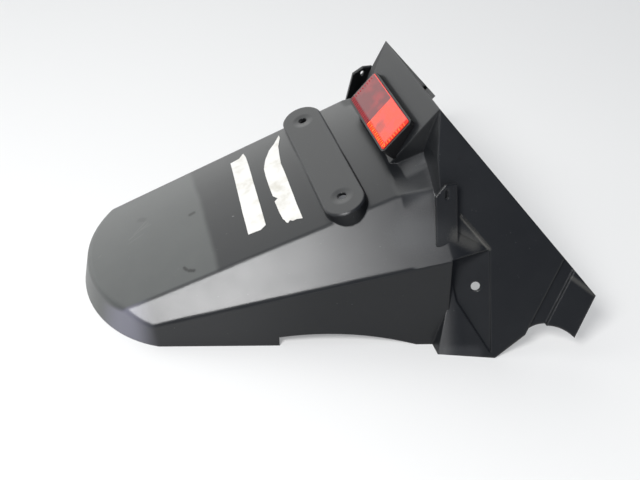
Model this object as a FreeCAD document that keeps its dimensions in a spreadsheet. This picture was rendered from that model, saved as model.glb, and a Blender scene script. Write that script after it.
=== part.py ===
"""Rear mudguard of a motorcycle: a moulded hood with a plate pad, two wings and a rear reflector.

Frame: +X from the tail tip to the wing tips, +Y to the left side, +Z up, millimetres.
Stations are distances from the tail tip along X. The origin is the middle of the footprint.
"""
import FreeCAD, Part
import os
import Sketcher

Vector = FreeCAD.Vector
Rotation = FreeCAD.Rotation
Placement = FreeCAD.Placement

# Driving dimensions, in millimetres and degrees
SIZES = {
    "body_length": 300.0,           # tail tip to the body's end
    "wing_length": 120.0,           # body's end to the wing tips
    "wall": 3.0,                    # moulded wall
    "tail_height": 15.5,            # deck edge above the ground line at the tail tip
    "deck_slope": 20.45,            # climb of the deck from the tail to the panel
    "deck_crown": 9.0,              # rise of the deck's middle over its edges
    "deck_half_tail": 71.3,         # half width of the deck at the tail
    "deck_half_front": 84.4,        # half width of the deck at the body's end
    "shoulder_half_tail": 81.9,     # half width at the shoulder line at the tail
    "shoulder_half_front": 139.2,   # half width at the shoulder line at the body's end
    "shoulder_fall": 38.0,          # fall of the bevel from deck edge to shoulder
    "side_draft": 10.3,             # lean of the side walls
    "edge_round": 9.0,              # rounding of the deck's edges
    "shoulder_round": 6.0,          # rounding of the shoulder lines
    "tail_round_depth": 92.0,       # depth of the elliptical tail in plan
    "tail_round_half": 105.0,       # half width of the elliptical tail in plan
    "tail_bevel": 12.0,             # lean of the tail's end
    "tail_lip": 8.0,                # rounding of the deck's edge over the tail
    "arch_length": 117.0,           # cut-out in the lower edge of each side wall
    "arch_setback": 26.0,           # its front end behind the body's end
    "arch_step": 8.5,
    "arch_crown_setback": 85.0,
    "arch_rise": 11.2,
    "wing_half": 168.3,             # half width of the wings on the ground at the body's end
    "wing_splay": 19.16,            # spread of the wings towards the front
    "wing_lean": 29.35,             # inward lean of the wings
    "wing_heel": 12.0,              # reach of the wing's foot behind the body's end
    "wing_heel_rise": 43.0,
    "wing_foot": 35.0,              # reach of the wing's foot ahead of the body's end
    "wing_tip_height": 54.3,        # upper corner of the wing tip
    "wing_tip_undercut": 18.8,      # lower corner of the wing tip, behind the upper one
    "wing_tip_lower": 20.1,
    "wing_arch_length": 59.0,       # scallop in the wing's lower edge, up to the tip
    "wing_arch_foot": 19.9,
    "wing_arch_crown": 38.0,
    "wing_arch_rise": 28.4,
    "channel_setback": 25.3,        # upper end of the channel across the wing, behind the tip
    "channel_height": 78.6,
    "channel_depth": 2.5,
    "channel_width": 13.0,
    "recess_depth": 6.0,            # recess round the side hole, at the body's end
    "recess_edge": 0.5,             # its depth at the far edge
    "recess_foot": 43.0,            # lower corner of the recess beside the body
    "recess_lean": 6.5,             # lower corner ahead of the body's end
    "rim_overhang": 4.7,            # rim ahead of the body's end
    "rear_lean_drop": 36.0,         # stretch of the wings' rear edge that leans to the rim
    "panel_height": 69.2,           # reflector panel from the deck to the rim
    "panel_setback": 28.5,          # its foot behind the body's end
    "panel_foot_half": 42.0,
    "cheek_splay": 21.3,            # spread of the panel's cheeks towards the front
    "shelf_rise": 3.5,              # rise of the deck's edges beside the panel
    "scoop_rise": 25.0,             # rise of the deck beside the panel, at the cheek
    "runout_length": 36.7,          # shoulder's way to the point where it dies into the wing
    "runout_width": 26.0,
    "ridge_offset": 15.0,           # ridge over the run-out, from its upper end ahead of the body's end
    "ridge_rise": 24.6,
    "ridge_width": 5.0,
    "pad_setback": 71.5,            # licence plate pad's middle behind the body's end
    "pad_hole_spacing": 128.0,
    "pad_length": 176.0,
    "pad_width": 39.0,
    "pad_lift": 10.0,               # pad face above the deck's edge plane
    "pad_bevel": 1.5,               # bevel of the pad's rim
    "pad_hole": 8.0,
    "pad_dish": 21.0,
    "pad_dish_depth": 1.2,
    "side_hole": 8.0,               # fixing hole in each wing
    "side_hole_offset": 23.4,
    "side_hole_height": 55.1,
    "lug_setback": 10.0,            # upright lug beside each wing
    "lug_length": 19.0,
    "lug_thickness": 3.0,
    "lug_half": 109.3,
    "lug_slot_rise": 14.7,          # slot above the deck's edge at the panel
    "lug_lean": 21.8,
    "lug_below_slot": 44.0,
    "lug_above_slot": 8.0,
    "lug_corner": 9.0,
    "lug_slot_width": 3.5,
    "lug_slot_length": 8.0,
    "lens_length": 90.0,            # reflector
    "lens_height": 33.3,
    "lens_thickness": 4.0,
    "lens_drop": 21.4,              # lens's upper edge below the rim
    "lens_stand_off": 5.9,          # lens's upper edge ahead of the panel
    "lens_wedge": 14.8,             # lean of the lens away from the panel
    "casing_border": 2.0,
    "casing_corner": 4.0,
    "casing_lip": 0.6,              # lens face proud of its casing
    "stud_spacing": 50.0,
    "stud_diameter": 5.0,
    "stud_clearance": 0.25,
    "stud_drop": 36.0,              # studs below the rim
    "stud_reach": 9.0,              # stud length behind the panel
    "washer_diameter": 10.0,
    "washer_thickness": 1.0,
    "nut_flats": 8.0,
    "nut_thickness": 4.0,
}

# Overrun of cutting and inner shapes past the faces that they open
OVERRUN = "Sizes.wall"
# Reach of cutting shapes that pass through the whole part
FAR = "Sizes.body_length"
# Two sketch points closer than this are one point
SAME_POINT = 1e-6

doc = FreeCAD.newDocument("rear_mudguard")
sheet = doc.addObject("Spreadsheet::Sheet", "Sizes")
for row, (alias, value) in enumerate(SIZES.items(), start=1):
    sheet.set(f"A{row}", alias)
    sheet.set(f"B{row}", str(value))
    sheet.setAlias(f"B{row}", alias)
doc.recompute()

YZ = Rotation(Vector(1, 1, 1), 120)     # sketch x, y lie along Y, Z
XZ = Rotation(Vector(1, 0, 0), 90)      # sketch x, y lie along X, Z
XY = Rotation()


def size(alias):
    """Expression for one cell of the sheet."""
    return f"Sizes.{alias}"


def tangent(alias):
    """Expression for the tangent of an angle of the sheet."""
    return f"tan(Sizes.{alias} * 1 deg)"


def cosine(alias):
    """Expression for the cosine of an angle of the sheet."""
    return f"cos(Sizes.{alias} * 1 deg)"


def sine(alias):
    """Expression for the sine of an angle of the sheet."""
    return f"sin(Sizes.{alias} * 1 deg)"


def along(station):
    """Expression for the X of a station."""
    return f"(({station}) - (Sizes.body_length + Sizes.wing_length) / 2)"


def behind(setback):
    """Expression for the station a distance behind the body's end."""
    return f"(Sizes.body_length - {size(setback)})"


def ahead(offset):
    """Expression for the station a distance ahead of the body's end."""
    return f"(Sizes.body_length + {size(offset)})"


def before_tip(setback):
    """Expression for the station a distance behind the wing tips."""
    return f"(Sizes.body_length + Sizes.wing_length - {size(setback)})"


def value_of(expression):
    """Present value of an expression as a plain number."""
    result = sheet.evalExpression(str(expression))
    return float(getattr(result, "Value", result))


def bind(item, paths):
    """Bind each property path of a document object to its expression."""
    for path, expression in paths.items():
        item.setExpression(path, str(expression))
    return item


def pin(sketch, geometry, position, x, y):
    """Fix one point of a sketch at two expressions."""
    for kind, expression in (("DistanceX", x), ("DistanceY", y)):
        start = value_of(expression)
        index = sketch.addConstraint(
            Sketcher.Constraint(kind, -1, 1, geometry, position, start))
        sketch.setExpression(f"Constraints[{index}]", str(expression))


def outline(name, rotation, offset, points, arcs=None):
    """Closed sketch through points given as expressions; arcs maps a side to a point on its curve."""
    arcs = arcs or {}
    sketch = doc.addObject("Sketcher::SketchObject", name)
    sketch.Placement = Placement(Vector(), rotation)
    bind(sketch, {f"Placement.Base.{axis}": expression for axis, expression in offset.items()})
    spots = [Vector(value_of(x), value_of(y), 0) for x, y in points]
    count = len(spots)
    ends = []
    for side in range(count):
        first, last = spots[side], spots[(side + 1) % count]
        if side in arcs:
            middle = Vector(value_of(arcs[side][0]), value_of(arcs[side][1]), 0)
            index = sketch.addGeometry(Part.Arc(first, middle, last))
            forward = (sketch.Geometry[index].StartPoint - first).Length < SAME_POINT
        else:
            index = sketch.addGeometry(Part.LineSegment(first, last))
            forward = True
        ends.append((index, 1, 2) if forward else (index, 2, 1))
    for side in range(count):
        index, _, tail = ends[side]
        following, head, _ = ends[(side + 1) % count]
        sketch.addConstraint(Sketcher.Constraint("Coincident", index, tail, following, head))
    for side, (x, y) in enumerate(points):
        pin(sketch, ends[side][0], ends[side][1], x, y)
    for side, (x, y) in arcs.items():
        mark = sketch.addGeometry(Part.Point(Vector(value_of(x), value_of(y), 0)), True)
        pin(sketch, mark, 1, x, y)
        sketch.addConstraint(Sketcher.Constraint("PointOnObject", mark, 1, ends[side][0]))
    return sketch


def loft(name, *sections):
    """Solid with straight rulings through the sections."""
    item = doc.addObject("Part::Loft", name)
    item.Sections = list(sections)
    item.Solid = True
    item.Ruled = True
    return item


def prism(name, sketch, depth):
    """Solid that carries a sketch equally to both sides of its plane."""
    item = doc.addObject("Part::Extrusion", name)
    item.Base = sketch
    item.DirMode = "Normal"
    item.Solid = True
    item.Symmetric = True
    return bind(item, {"LengthFwd": depth})


def fuse(name, *shapes):
    """Union of shapes."""
    item = doc.addObject("Part::MultiFuse", name)
    item.Shapes = list(shapes)
    item.Refine = True
    return item


def common(name, base, tool):
    """Intersection of two shapes."""
    item = doc.addObject("Part::Common", name)
    item.Base = base
    item.Tool = tool
    return item


def cut(name, base, tool):
    """Base with the tool taken away."""
    item = doc.addObject("Part::Cut", name)
    item.Base = base
    item.Tool = tool
    item.Refine = True
    return item


def mirrored(name, source):
    """Copy of a shape on the other side of the part's middle plane."""
    item = doc.addObject("Part::Mirroring", name)
    item.Source = source
    item.Normal = Vector(0, 1, 0)
    return item


# The body: a crowned deck, bevelled to shoulders, with drafted side walls

def between(first, last, station):
    """Expression for a size that runs evenly from the tail to the body's end."""
    return f"({size(first)} + ({size(last)} - {size(first)}) * ({station}) / Sizes.body_length)"


def deck_height(station):
    """Expression for the height of the deck's edge at a station behind the panel."""
    return f"(Sizes.tail_height + {tangent('deck_slope')} * ({station}))"


SHELF_START = behind("panel_setback")
SHELF_HEIGHT = deck_height(SHELF_START)
SHELF_END_HEIGHT = f"({SHELF_HEIGHT} + Sizes.shelf_rise)"


def body_section(name, station, top, inset="0", below="0"):
    """Cross-section of the body at a station, set in by a wall and carried below the ground."""
    deck = between("deck_half_tail", "deck_half_front", station)
    shoulder = between("shoulder_half_tail", "shoulder_half_front", station)
    shoulder_height = f"({deck_height(station)} - ({shoulder} - {deck}) * {tangent('shoulder_fall')})"
    foot = f"({shoulder} + ({shoulder_height} + {below}) * {tangent('side_draft')})"
    spread = "(1 + sin((Sizes.shoulder_fall + Sizes.side_draft) * 1 deg))"
    deck_in = f"({deck} - {inset} * tan(Sizes.shoulder_fall / 2 * 1 deg))"
    shoulder_in = f"({shoulder} - {inset} * ({sine('shoulder_fall')} + {cosine('side_draft')}) / {spread})"
    rise_in = f"({shoulder_height} - {inset} * ({cosine('shoulder_fall')} + {sine('side_draft')}) / {spread})"
    foot_in = f"({foot} - {inset} / {cosine('side_draft')})"
    top_in = f"({top} - {inset} / {cosine('deck_slope')})"
    points = [
        (f"-{foot_in}", f"-{below}"),
        (foot_in, f"-{below}"),
        (shoulder_in, rise_in),
        (deck_in, top_in),
        (f"-{deck_in}", top_in),
        (f"-{shoulder_in}", rise_in),
    ]
    crown_side = points.index((deck_in, top_in))
    crown = {crown_side: ("0", f"{top_in} + Sizes.deck_crown")}
    return outline(name, YZ, {"x": along(station)}, points, crown)


def body_loft(name, start, end, inset="0", below="0"):
    """Body between two stations: the deck climbs to the panel's foot and is level from there."""
    stations = (
        ("start", start, deck_height(start) if start == "0" else SHELF_END_HEIGHT),
        ("shelf", SHELF_START, SHELF_HEIGHT),
        ("end", end, SHELF_END_HEIGHT),
    )
    if start != "0":
        stations = stations[::2]
    return loft(name, *[body_section(f"{name}_{suffix}", station, top, inset, below)
                        for suffix, station, top in stations])


def tail_shape(name, inset="0", below="0"):
    """Everything inside the tail's plan: half an ellipse that opens out forward, leaning forward."""
    ellipse = doc.addObject("Part::Ellipse", f"{name}_ellipse")
    ellipse.Placement = Placement(Vector(), Rotation(Vector(0, 0, 1), 90))
    centre = along(f"Sizes.tail_round_depth - {below} * {tangent('tail_bevel')}")
    half = f"Sizes.tail_round_half - {inset}"
    bind(ellipse, {
        "MajorRadius": half,
        "MinorRadius": f"Sizes.tail_round_depth - {inset} / {cosine('tail_bevel')}",
        "Placement.Base.x": centre,
        "Placement.Base.z": f"-{below}",
    })
    front = f"({centre} + 3 * {FAR})"
    opened = f"({half} + {FAR})"
    fan = outline(f"{name}_fan", XY, {"z": f"-{below}"}, [
        (centre, f"-({half})"),
        (front, f"-{opened}"),
        (front, opened),
        (centre, half),
    ])
    pieces = []
    for suffix, base in (("tip", ellipse), ("front", fan)):
        item = doc.addObject("Part::Extrusion", f"{name}_{suffix}")
        item.Base = base
        item.DirMode = "Custom"
        item.Dir = Vector(0, 0, 1)
        item.Solid = True
        bind(item, {"Dir.x": tangent("tail_bevel"), "LengthFwd": FAR})
        pieces.append(item)
    return fuse(name, *pieces)


def longways(edge):
    """Whether an edge runs along the body, and not across it."""
    box = edge.BoundBox
    return box.XLength > max(box.YLength, box.ZLength)


def rounded_body(name, source):
    """Body with its deck edges and shoulder lines rounded."""
    doc.recompute()
    edges = []
    for index, edge in enumerate(source.Shape.Edges, start=1):
        middle = edge.valueAt((edge.FirstParameter + edge.LastParameter) / 2)
        if not longways(edge) or middle.z < value_of(OVERRUN):
            continue
        station = middle.x + value_of("(Sizes.body_length + Sizes.wing_length) / 2")
        deck = value_of(between("deck_half_tail", "deck_half_front", station))
        shoulder = value_of(between("shoulder_half_tail", "shoulder_half_front", station))
        on_deck = abs(middle.y) < (deck + shoulder) / 2
        radius = value_of("Sizes.edge_round" if on_deck else "Sizes.shoulder_round")
        edges.append((index, radius, radius))
    item = doc.addObject("Part::Fillet", name)
    item.Base = source
    item.Edges = edges
    return item


WALL = "Sizes.wall"
BELOW = OVERRUN
BODY_END = "Sizes.body_length"
PASSAGE = "4 * Sizes.wall"


def rounded_tail(name, source, radius):
    """Body with the deck's edge over the tail rounded."""
    doc.recompute()
    start = value_of(along("Sizes.tail_round_depth"))
    edges = []
    for index, edge in enumerate(source.Shape.Edges, start=1):
        middle = edge.valueAt((edge.FirstParameter + edge.LastParameter) / 2)
        box = edge.BoundBox
        across = box.YLength > box.XLength
        if across and middle.x < start and box.ZMin > value_of(OVERRUN):
            edges.append((index, radius, radius))
    item = doc.addObject("Part::Fillet", name)
    item.Base = source
    item.Edges = edges
    return item


body_block = body_loft("body_block", "0", BODY_END)
body_blank = common("body_blank", rounded_body("body_rounded", body_block), tail_shape("tail_plan"))
body_outer = rounded_tail("body_outer", body_blank, value_of("Sizes.tail_lip"))
hollow_block = body_loft("hollow_block", "0", f"{BODY_END} - {WALL}", WALL, BELOW)
body_hollow = common("body_hollow", hollow_block, tail_shape("hollow_plan", WALL, BELOW))


# The wings: two leaning planes that spread from the body's end to the wing tips

def wing_half(station, height):
    """Expression for the half width between the wings."""
    return (f"(Sizes.wing_half + {tangent('wing_splay')} * (({station}) - Sizes.body_length)"
            f" - {tangent('wing_lean')} * ({height}))")


SLANT = f"sqrt(1 + {tangent('wing_splay')} ^ 2 + {tangent('wing_lean')} ^ 2)"
RIM_STATION = ahead("rim_overhang")
RIM_HEIGHT = f"({SHELF_HEIGHT} + Sizes.panel_height)"
WING_TOP = f"({RIM_HEIGHT} + {OVERRUN})"
TIP = "(Sizes.body_length + Sizes.wing_length)"
HEEL = behind("wing_heel")


def wing_loft(name, start, end, inset="0", below="0"):
    """Space between the wings from one station to another."""
    sections = []
    for suffix, station in (("start", start), ("end", end)):
        foot = f"({wing_half(station, f'-{below}')} - {inset} * {SLANT})"
        head = f"({wing_half(station, WING_TOP)} - {inset} * {SLANT})"
        sections.append(outline(f"{name}_{suffix}", YZ, {"x": along(station)}, [
            (f"-{foot}", f"-{below}"),
            (foot, f"-{below}"),
            (head, WING_TOP),
            (f"-{head}", WING_TOP),
        ]))
    return loft(name, *sections)


CHANNEL_FOOT = before_tip("wing_arch_length")
CHANNEL_RUN = (f"(({before_tip('channel_setback')} - {CHANNEL_FOOT})"
               " / (Sizes.channel_height - Sizes.wing_arch_foot))")


def channel_prism(name, margin):
    """Side view of the channel that crosses the wings, grown by a margin."""
    points = []
    for height, sides in ((f"-{FAR}", (-1, 1)), (FAR, (1, -1))):
        line = f"({CHANNEL_FOOT} + {CHANNEL_RUN} * ({height} - Sizes.wing_arch_foot))"
        for side in sides:
            edge = f"{line} - {margin}" if side < 0 else f"{line} + Sizes.channel_width + {margin}"
            points.append((along(edge), height))
    return prism(name, outline(f"{name}_outline", XZ, {}, points), f"2 * {FAR}")


def recess_prism(name, margin):
    """Side view of the recess round the side holes, grown by a margin."""
    run = "Sizes.runout_length"
    sketch = outline(f"{name}_outline", XZ, {}, [
        (along(f"{ahead('recess_lean')} - {margin}"), f"Sizes.recess_foot - {margin}"),
        (along(f"{ahead('wing_foot')} - Sizes.wall"), f"Sizes.wall - {margin}"),
        (along(f"Sizes.body_length + {run} + {margin}"), f"{RUNOUT_HEIGHT} + {margin}"),
        (along(f"Sizes.body_length - {margin}"), f"{RUNOUT_HEIGHT} + {margin}"),
    ])
    return prism(name, sketch, f"2 * {FAR}")


def recess_floor(name, inset, below):
    """Space between the floors of the two recesses, with its depth fading towards the front."""
    sections = []
    end = f"({ahead('runout_length')} + {WALL})"
    for suffix, station, depth in (("start", f"({BODY_END} - {inset})", "Sizes.recess_depth"),
                                   ("end", end, "Sizes.recess_edge")):
        set_in = f"({inset} + {depth}) * {SLANT}"
        foot = f"({wing_half(station, f'-{below}')} - {set_in})"
        head = f"({wing_half(station, WING_TOP)} - {set_in})"
        sections.append(outline(f"{name}_{suffix}", YZ, {"x": along(station)}, [
            (f"-{foot}", f"-{below}"),
            (foot, f"-{below}"),
            (head, WING_TOP),
            (f"-{head}", WING_TOP),
        ]))
    return loft(name, *sections)


def rear_trim(name, shift):
    """Everything behind the wings' rear edge: the heel, the upright edge and its lean to the rim."""
    lean_start = f"({RIM_HEIGHT} - Sizes.rear_lean_drop)"
    run = "(Sizes.rim_overhang / Sizes.rear_lean_drop)"
    edge = f"({BODY_END} + {shift})"
    heel_run = "(Sizes.wing_heel / Sizes.wing_heel_rise)"
    sketch = outline(f"{name}_outline", XZ, {}, [
        (along(f"{HEEL} + {shift} - {heel_run} * {FAR}"), f"-{FAR}"),
        (along(edge), "Sizes.wing_heel_rise"),
        (along(edge), lean_start),
        (along(f"{edge} + {run} * {FAR}"), f"{lean_start} + {FAR}"),
        (along(f"-{FAR}"), f"{lean_start} + {FAR}"),
        (along(f"-{FAR}"), f"-{FAR}"),
    ])
    return prism(name, sketch, f"2 * {FAR}")


WING_END = f"({TIP} + {OVERRUN})"
STEPPED = f"({WALL} + Sizes.channel_depth)"
RUNOUT_HEIGHT = (f"({deck_height(BODY_END)} - (Sizes.shoulder_half_front - Sizes.deck_half_front)"
                 f" * {tangent('shoulder_fall')})")

wing_front = cut(
    "wing_front",
    wing_loft("wing_block", HEEL, WING_END),
    fuse("wing_steps", channel_prism("channel_outside", "0"), recess_prism("recess_outside", "0")),
)
channel_floor = wing_loft("channel_floor", ahead("runout_length"), WING_END, "Sizes.channel_depth")
wings = cut(
    "wings",
    fuse("wings_blank", wing_front, channel_floor, recess_floor("recess_floor", "0", "0")),
    rear_trim("rear_trim", "0"),
)
wing_hollow_front = cut(
    "wing_hollow_front",
    wing_loft("wing_hollow_block", HEEL, WING_END, WALL, BELOW),
    fuse("hollow_steps", channel_prism("channel_inside", WALL), recess_prism("recess_inside", WALL)),
)
channel_hollow = wing_loft("channel_hollow", ahead("runout_length"), WING_END, STEPPED, BELOW)
recess_hollow = recess_floor("recess_floor_inside", WALL, BELOW)
wings_hollow = cut(
    "wings_hollow",
    fuse("wings_hollow_blank", wing_hollow_front, channel_hollow, recess_hollow),
    rear_trim("rear_trim_inside", WALL),
)
# Walls that close the body's end beside the recesses
recess_ends = cut(
    "recess_ends",
    prism("recess_end_slab", outline("recess_end_outline", XZ, {}, [
        (along(f"{BODY_END} - {WALL}"), WALL),
        (along(f"{BODY_END} + 2 * {PASSAGE}"), WALL),
        (along(f"{BODY_END} + 2 * {PASSAGE}"), f"{RUNOUT_HEIGHT} + {WALL}"),
        (along(f"{BODY_END} - {WALL}"), f"{RUNOUT_HEIGHT} + {WALL}"),
    ]), f"2 * {FAR}"),
    recess_hollow,
)


# The passage between body and wings, clear of both walls

passage = common(
    "passage",
    body_loft("passage_body", f"{BODY_END} - {PASSAGE}", f"{BODY_END} + {PASSAGE}", WALL, BELOW),
    wing_loft("passage_wings", f"{BODY_END} - {PASSAGE}", f"{BODY_END} + {PASSAGE}", WALL, BELOW),
)


# The turret: the panel behind the reflector with its two cheeks

PANEL_RUN = "((Sizes.rim_overhang + Sizes.panel_setback) / Sizes.panel_height)"
PANEL_TOP_HALF = wing_half(RIM_STATION, RIM_HEIGHT)
PANEL_WIDEN = f"(({PANEL_TOP_HALF} - Sizes.panel_foot_half) / Sizes.panel_height)"


def panel_station(height):
    """Expression for the station of the panel's face at a height."""
    return f"({SHELF_START} + (({height}) - {SHELF_HEIGHT}) * {PANEL_RUN})"


def turret_loft(name, inset="0"):
    """Turret from under the deck to above the rim."""
    sections = []
    back = f"({BODY_END} + {PASSAGE})"
    levels = (("foot", f"({SHELF_HEIGHT} - {PASSAGE})"), ("head", WING_TOP))
    for suffix, height in levels:
        rise = f"({height} - {SHELF_HEIGHT})"
        face = f"({panel_station(height)} + {inset} * sqrt(1 + {PANEL_RUN} ^ 2))"
        half = f"(Sizes.panel_foot_half + {rise} * {PANEL_WIDEN} - {inset} / {cosine('cheek_splay')})"
        rear_half = f"({half} + ({back} - {face}) * {tangent('cheek_splay')})"
        sections.append(outline(f"{name}_{suffix}", XY, {"z": height}, [
            (along(face), f"-{half}"),
            (along(back), f"-{rear_half}"),
            (along(back), rear_half),
            (along(face), half),
        ]))
    return loft(name, *sections)


turret = turret_loft("turret")
turret_hollow = turret_loft("turret_hollow", WALL)


# The scoops: beside the panel the deck sweeps up to the cheeks

def scoop_loft(name, inset="0"):
    """Twisted rise from the panel's foot line to the wings' rear edge, on the left side."""
    front = f"({BODY_END} + {WALL})"
    base = f"({SHELF_HEIGHT} - {PASSAGE})"
    level = f"({SHELF_HEIGHT} - {inset})"
    edge_rear = between("deck_half_tail", "deck_half_front", SHELF_START)
    edge_front = between("deck_half_tail", "deck_half_front", front)
    head = f"({level} + Sizes.scoop_rise)"
    cheek = (f"(Sizes.panel_foot_half + Sizes.scoop_rise * {PANEL_WIDEN}"
             f" + ({front} - {panel_station(head)}) * {tangent('cheek_splay')})")
    buried = "Sizes.panel_foot_half / 2"
    rear = outline(f"{name}_rear", YZ, {"x": along(f"{SHELF_START} + {inset}")}, [
        (buried, base),
        (f"{edge_rear} - {inset}", base),
        (f"{edge_rear} - {inset}", level),
        ("Sizes.panel_foot_half", level),
    ])
    fore = outline(f"{name}_fore", YZ, {"x": along(f"{front} + {inset}")}, [
        (buried, base),
        (f"{edge_front} - {inset}", base),
        (f"{edge_front} - {inset}", f"({level} + Sizes.shelf_rise)"),
        (cheek, head),
    ])
    return loft(name, rear, fore)


scoop_left = scoop_loft("scoop_left")
scoop_hollow_left = scoop_loft("scoop_hollow_left", WALL)


# The run-outs: each shoulder dies into its wing

def runout_loft(name):
    """Wedge from the shoulder at the body's end to a point on the wing."""
    shoulder = "Sizes.shoulder_half_front"
    inner = f"({shoulder} - Sizes.runout_width)"
    fall = (f"(({SHELF_END_HEIGHT} - {RUNOUT_HEIGHT})"
            " / (Sizes.shoulder_half_front - Sizes.deck_half_front))")
    root = outline(f"{name}_root", YZ, {"x": along(BODY_END)}, [
        (inner, RUNOUT_HEIGHT),
        (shoulder, RUNOUT_HEIGHT),
        (inner, f"{RUNOUT_HEIGHT} + Sizes.runout_width * {fall}"),
    ])
    tip_half = wing_half(ahead("runout_length"), RUNOUT_HEIGHT)
    blunt = "Sizes.wall / 4"
    tip = outline(f"{name}_tip", YZ, {"x": along(ahead("runout_length"))}, [
        (f"({tip_half} - {blunt})", RUNOUT_HEIGHT),
        (tip_half, RUNOUT_HEIGHT),
        (f"({tip_half} - {blunt})", f"({RUNOUT_HEIGHT} + {blunt})"),
    ])
    return loft(name, root, tip)


def ridge_loft(name):
    """Tapering ridge over a run-out, half sunk into the wing's wall."""
    sections = []
    for suffix, station, height, width in (
        ("root", ahead("ridge_offset"), f"({RUNOUT_HEIGHT} + Sizes.ridge_rise)", "Sizes.ridge_width"),
        ("tip", ahead("runout_length"), RUNOUT_HEIGHT, "Sizes.ridge_width / 2"),
    ):
        middle = wing_half(station, height)
        half = f"({width} / 2)"
        sections.append(outline(f"{name}_{suffix}", YZ, {"x": along(station)}, [
            (f"({middle} - {half})", height),
            (middle, f"({height} - {half})"),
            (f"({middle} + {half})", height),
            (middle, f"({height} + {half})"),
        ]))
    return loft(name, *sections)


runout_left = runout_loft("runout_left")
ridge_left = ridge_loft("ridge_left")
runouts = [runout_left, mirrored("runout_right", runout_left)]
ridges = [ridge_left, mirrored("ridge_right", ridge_left)]


# The plate pad: a flat capsule raised over the crowned deck

PAD_STATION = behind("pad_setback")


def pad_block(name, inset="0", lift="Sizes.pad_lift"):
    """Capsule through the deck, up to the pad's face."""
    half_length = f"(Sizes.pad_length / 2 - {inset})"
    half_width = f"(Sizes.pad_width / 2 - {inset})"
    straight = f"({half_length} - {half_width})"
    sketch = outline(f"{name}_outline", XY, {}, [
        (half_width, f"-{straight}"),
        (half_width, straight),
        (f"-{half_width}", straight),
        (f"-{half_width}", f"-{straight}"),
    ], {1: ("0", half_length), 3: ("0", f"-{half_length}")})
    sketch.Placement = Placement(Vector(), Rotation(Vector(0, -1, 0), value_of("Sizes.deck_slope")))
    bind(sketch, {
        "Placement.Base.x": along(f"{PAD_STATION} - {lift} * {sine('deck_slope')}"),
        "Placement.Base.z": f"{deck_height(PAD_STATION)} + {lift} * {cosine('deck_slope')}",
        "Placement.Rotation.Angle": "Sizes.deck_slope * 1 deg",
    })
    item = doc.addObject("Part::Extrusion", name)
    item.Base = sketch
    item.DirMode = "Normal"
    item.Solid = True
    return bind(item, {"LengthRev": "3 * Sizes.pad_lift"})


def bevelled_rim(name, source, bevel):
    """Block with the edge of its upper face bevelled."""
    doc.recompute()
    top = max(source.Shape.Faces, key=lambda face: face.CenterOfMass.z)
    rim = [edge.hashCode() for edge in top.Edges]
    item = doc.addObject("Part::Chamfer", name)
    item.Base = source
    item.Edges = [(index, bevel, bevel) for index, edge in enumerate(source.Shape.Edges, start=1)
                  if edge.hashCode() in rim]
    return item


pad = bevelled_rim("pad", pad_block("pad_blank"), value_of("Sizes.pad_bevel"))
pad_hollow = pad_block("pad_hollow", WALL, f"(Sizes.pad_lift - {WALL})")


# The lugs: upright plates beside the wings, each with a slot near its top

def lug_plate(name):
    """Leaning plate with one corner taken off and a slot, on the left side."""
    length = "Sizes.lug_length"
    top = "Sizes.lug_above_slot"
    foot = "-Sizes.lug_below_slot"
    corner = "Sizes.lug_corner"
    sketch = outline(f"{name}_outline", XZ, {}, [
        ("0", foot),
        (length, foot),
        (length, top),
        (corner, top),
        ("0", f"{top} - {corner}"),
    ])
    half_width = "Sizes.lug_slot_width / 2"
    half_length = "Sizes.lug_slot_length / 2"
    straight = f"({half_length} - {half_width})"
    middle = f"{length} / 2"
    slot = outline(f"{name}_slot_outline", XZ, {}, [
        (f"{middle} + {half_width}", f"-{straight}"),
        (f"{middle} + {half_width}", straight),
        (f"{middle} - {half_width}", straight),
        (f"{middle} - {half_width}", f"-{straight}"),
    ], {1: (middle, half_length), 3: (middle, f"-({half_length})")})
    blank = prism(f"{name}_blank", sketch, "Sizes.lug_thickness")
    hole = prism(f"{name}_slot", slot, "4 * Sizes.lug_thickness")
    plate = cut(name, blank, hole)
    for item in (sketch, slot):
        item.Placement = Placement(Vector(), Rotation(Vector(1, 0, 0), 90))
        bind(item, {
            "Placement.Base.x": along(behind("lug_setback")),
            "Placement.Base.y": "Sizes.lug_half",
            "Placement.Base.z": f"{SHELF_HEIGHT} + Sizes.lug_slot_rise",
            "Placement.Rotation.Angle": "(90 + Sizes.lug_lean) * 1 deg",
        })
    return plate


lug_left = lug_plate("lug_left")
lug_right = mirrored("lug_right", lug_left)


# The trimmed edges: rim, wing tips, scallops and side arches

RIM_RUN = f"((Sizes.wing_length - Sizes.rim_overhang) / ({RIM_HEIGHT} - Sizes.wing_tip_height))"
scallop_start = (along(before_tip("wing_tip_undercut")), "Sizes.wing_tip_lower")
front_points = [
    (along(f"{RIM_STATION} - {RIM_RUN} * {FAR}"), f"{RIM_HEIGHT} + {FAR}"),
    (along(TIP), "Sizes.wing_tip_height"),
    scallop_start,
    (along(CHANNEL_FOOT), "Sizes.wing_arch_foot"),
    (along(ahead("wing_foot")), "0"),
    (along(ahead("wing_foot")), f"-{FAR}"),
    (along(f"{TIP} + {FAR}"), f"-{FAR}"),
    (along(f"{TIP} + {FAR}"), f"{RIM_HEIGHT} + {FAR}"),
]
front_trim = prism("front_trim", outline("front_trim_outline", XZ, {}, front_points, {
    front_points.index(scallop_start): (along(before_tip("wing_arch_crown")), "Sizes.wing_arch_rise"),
}), f"2 * {FAR}")

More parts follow.
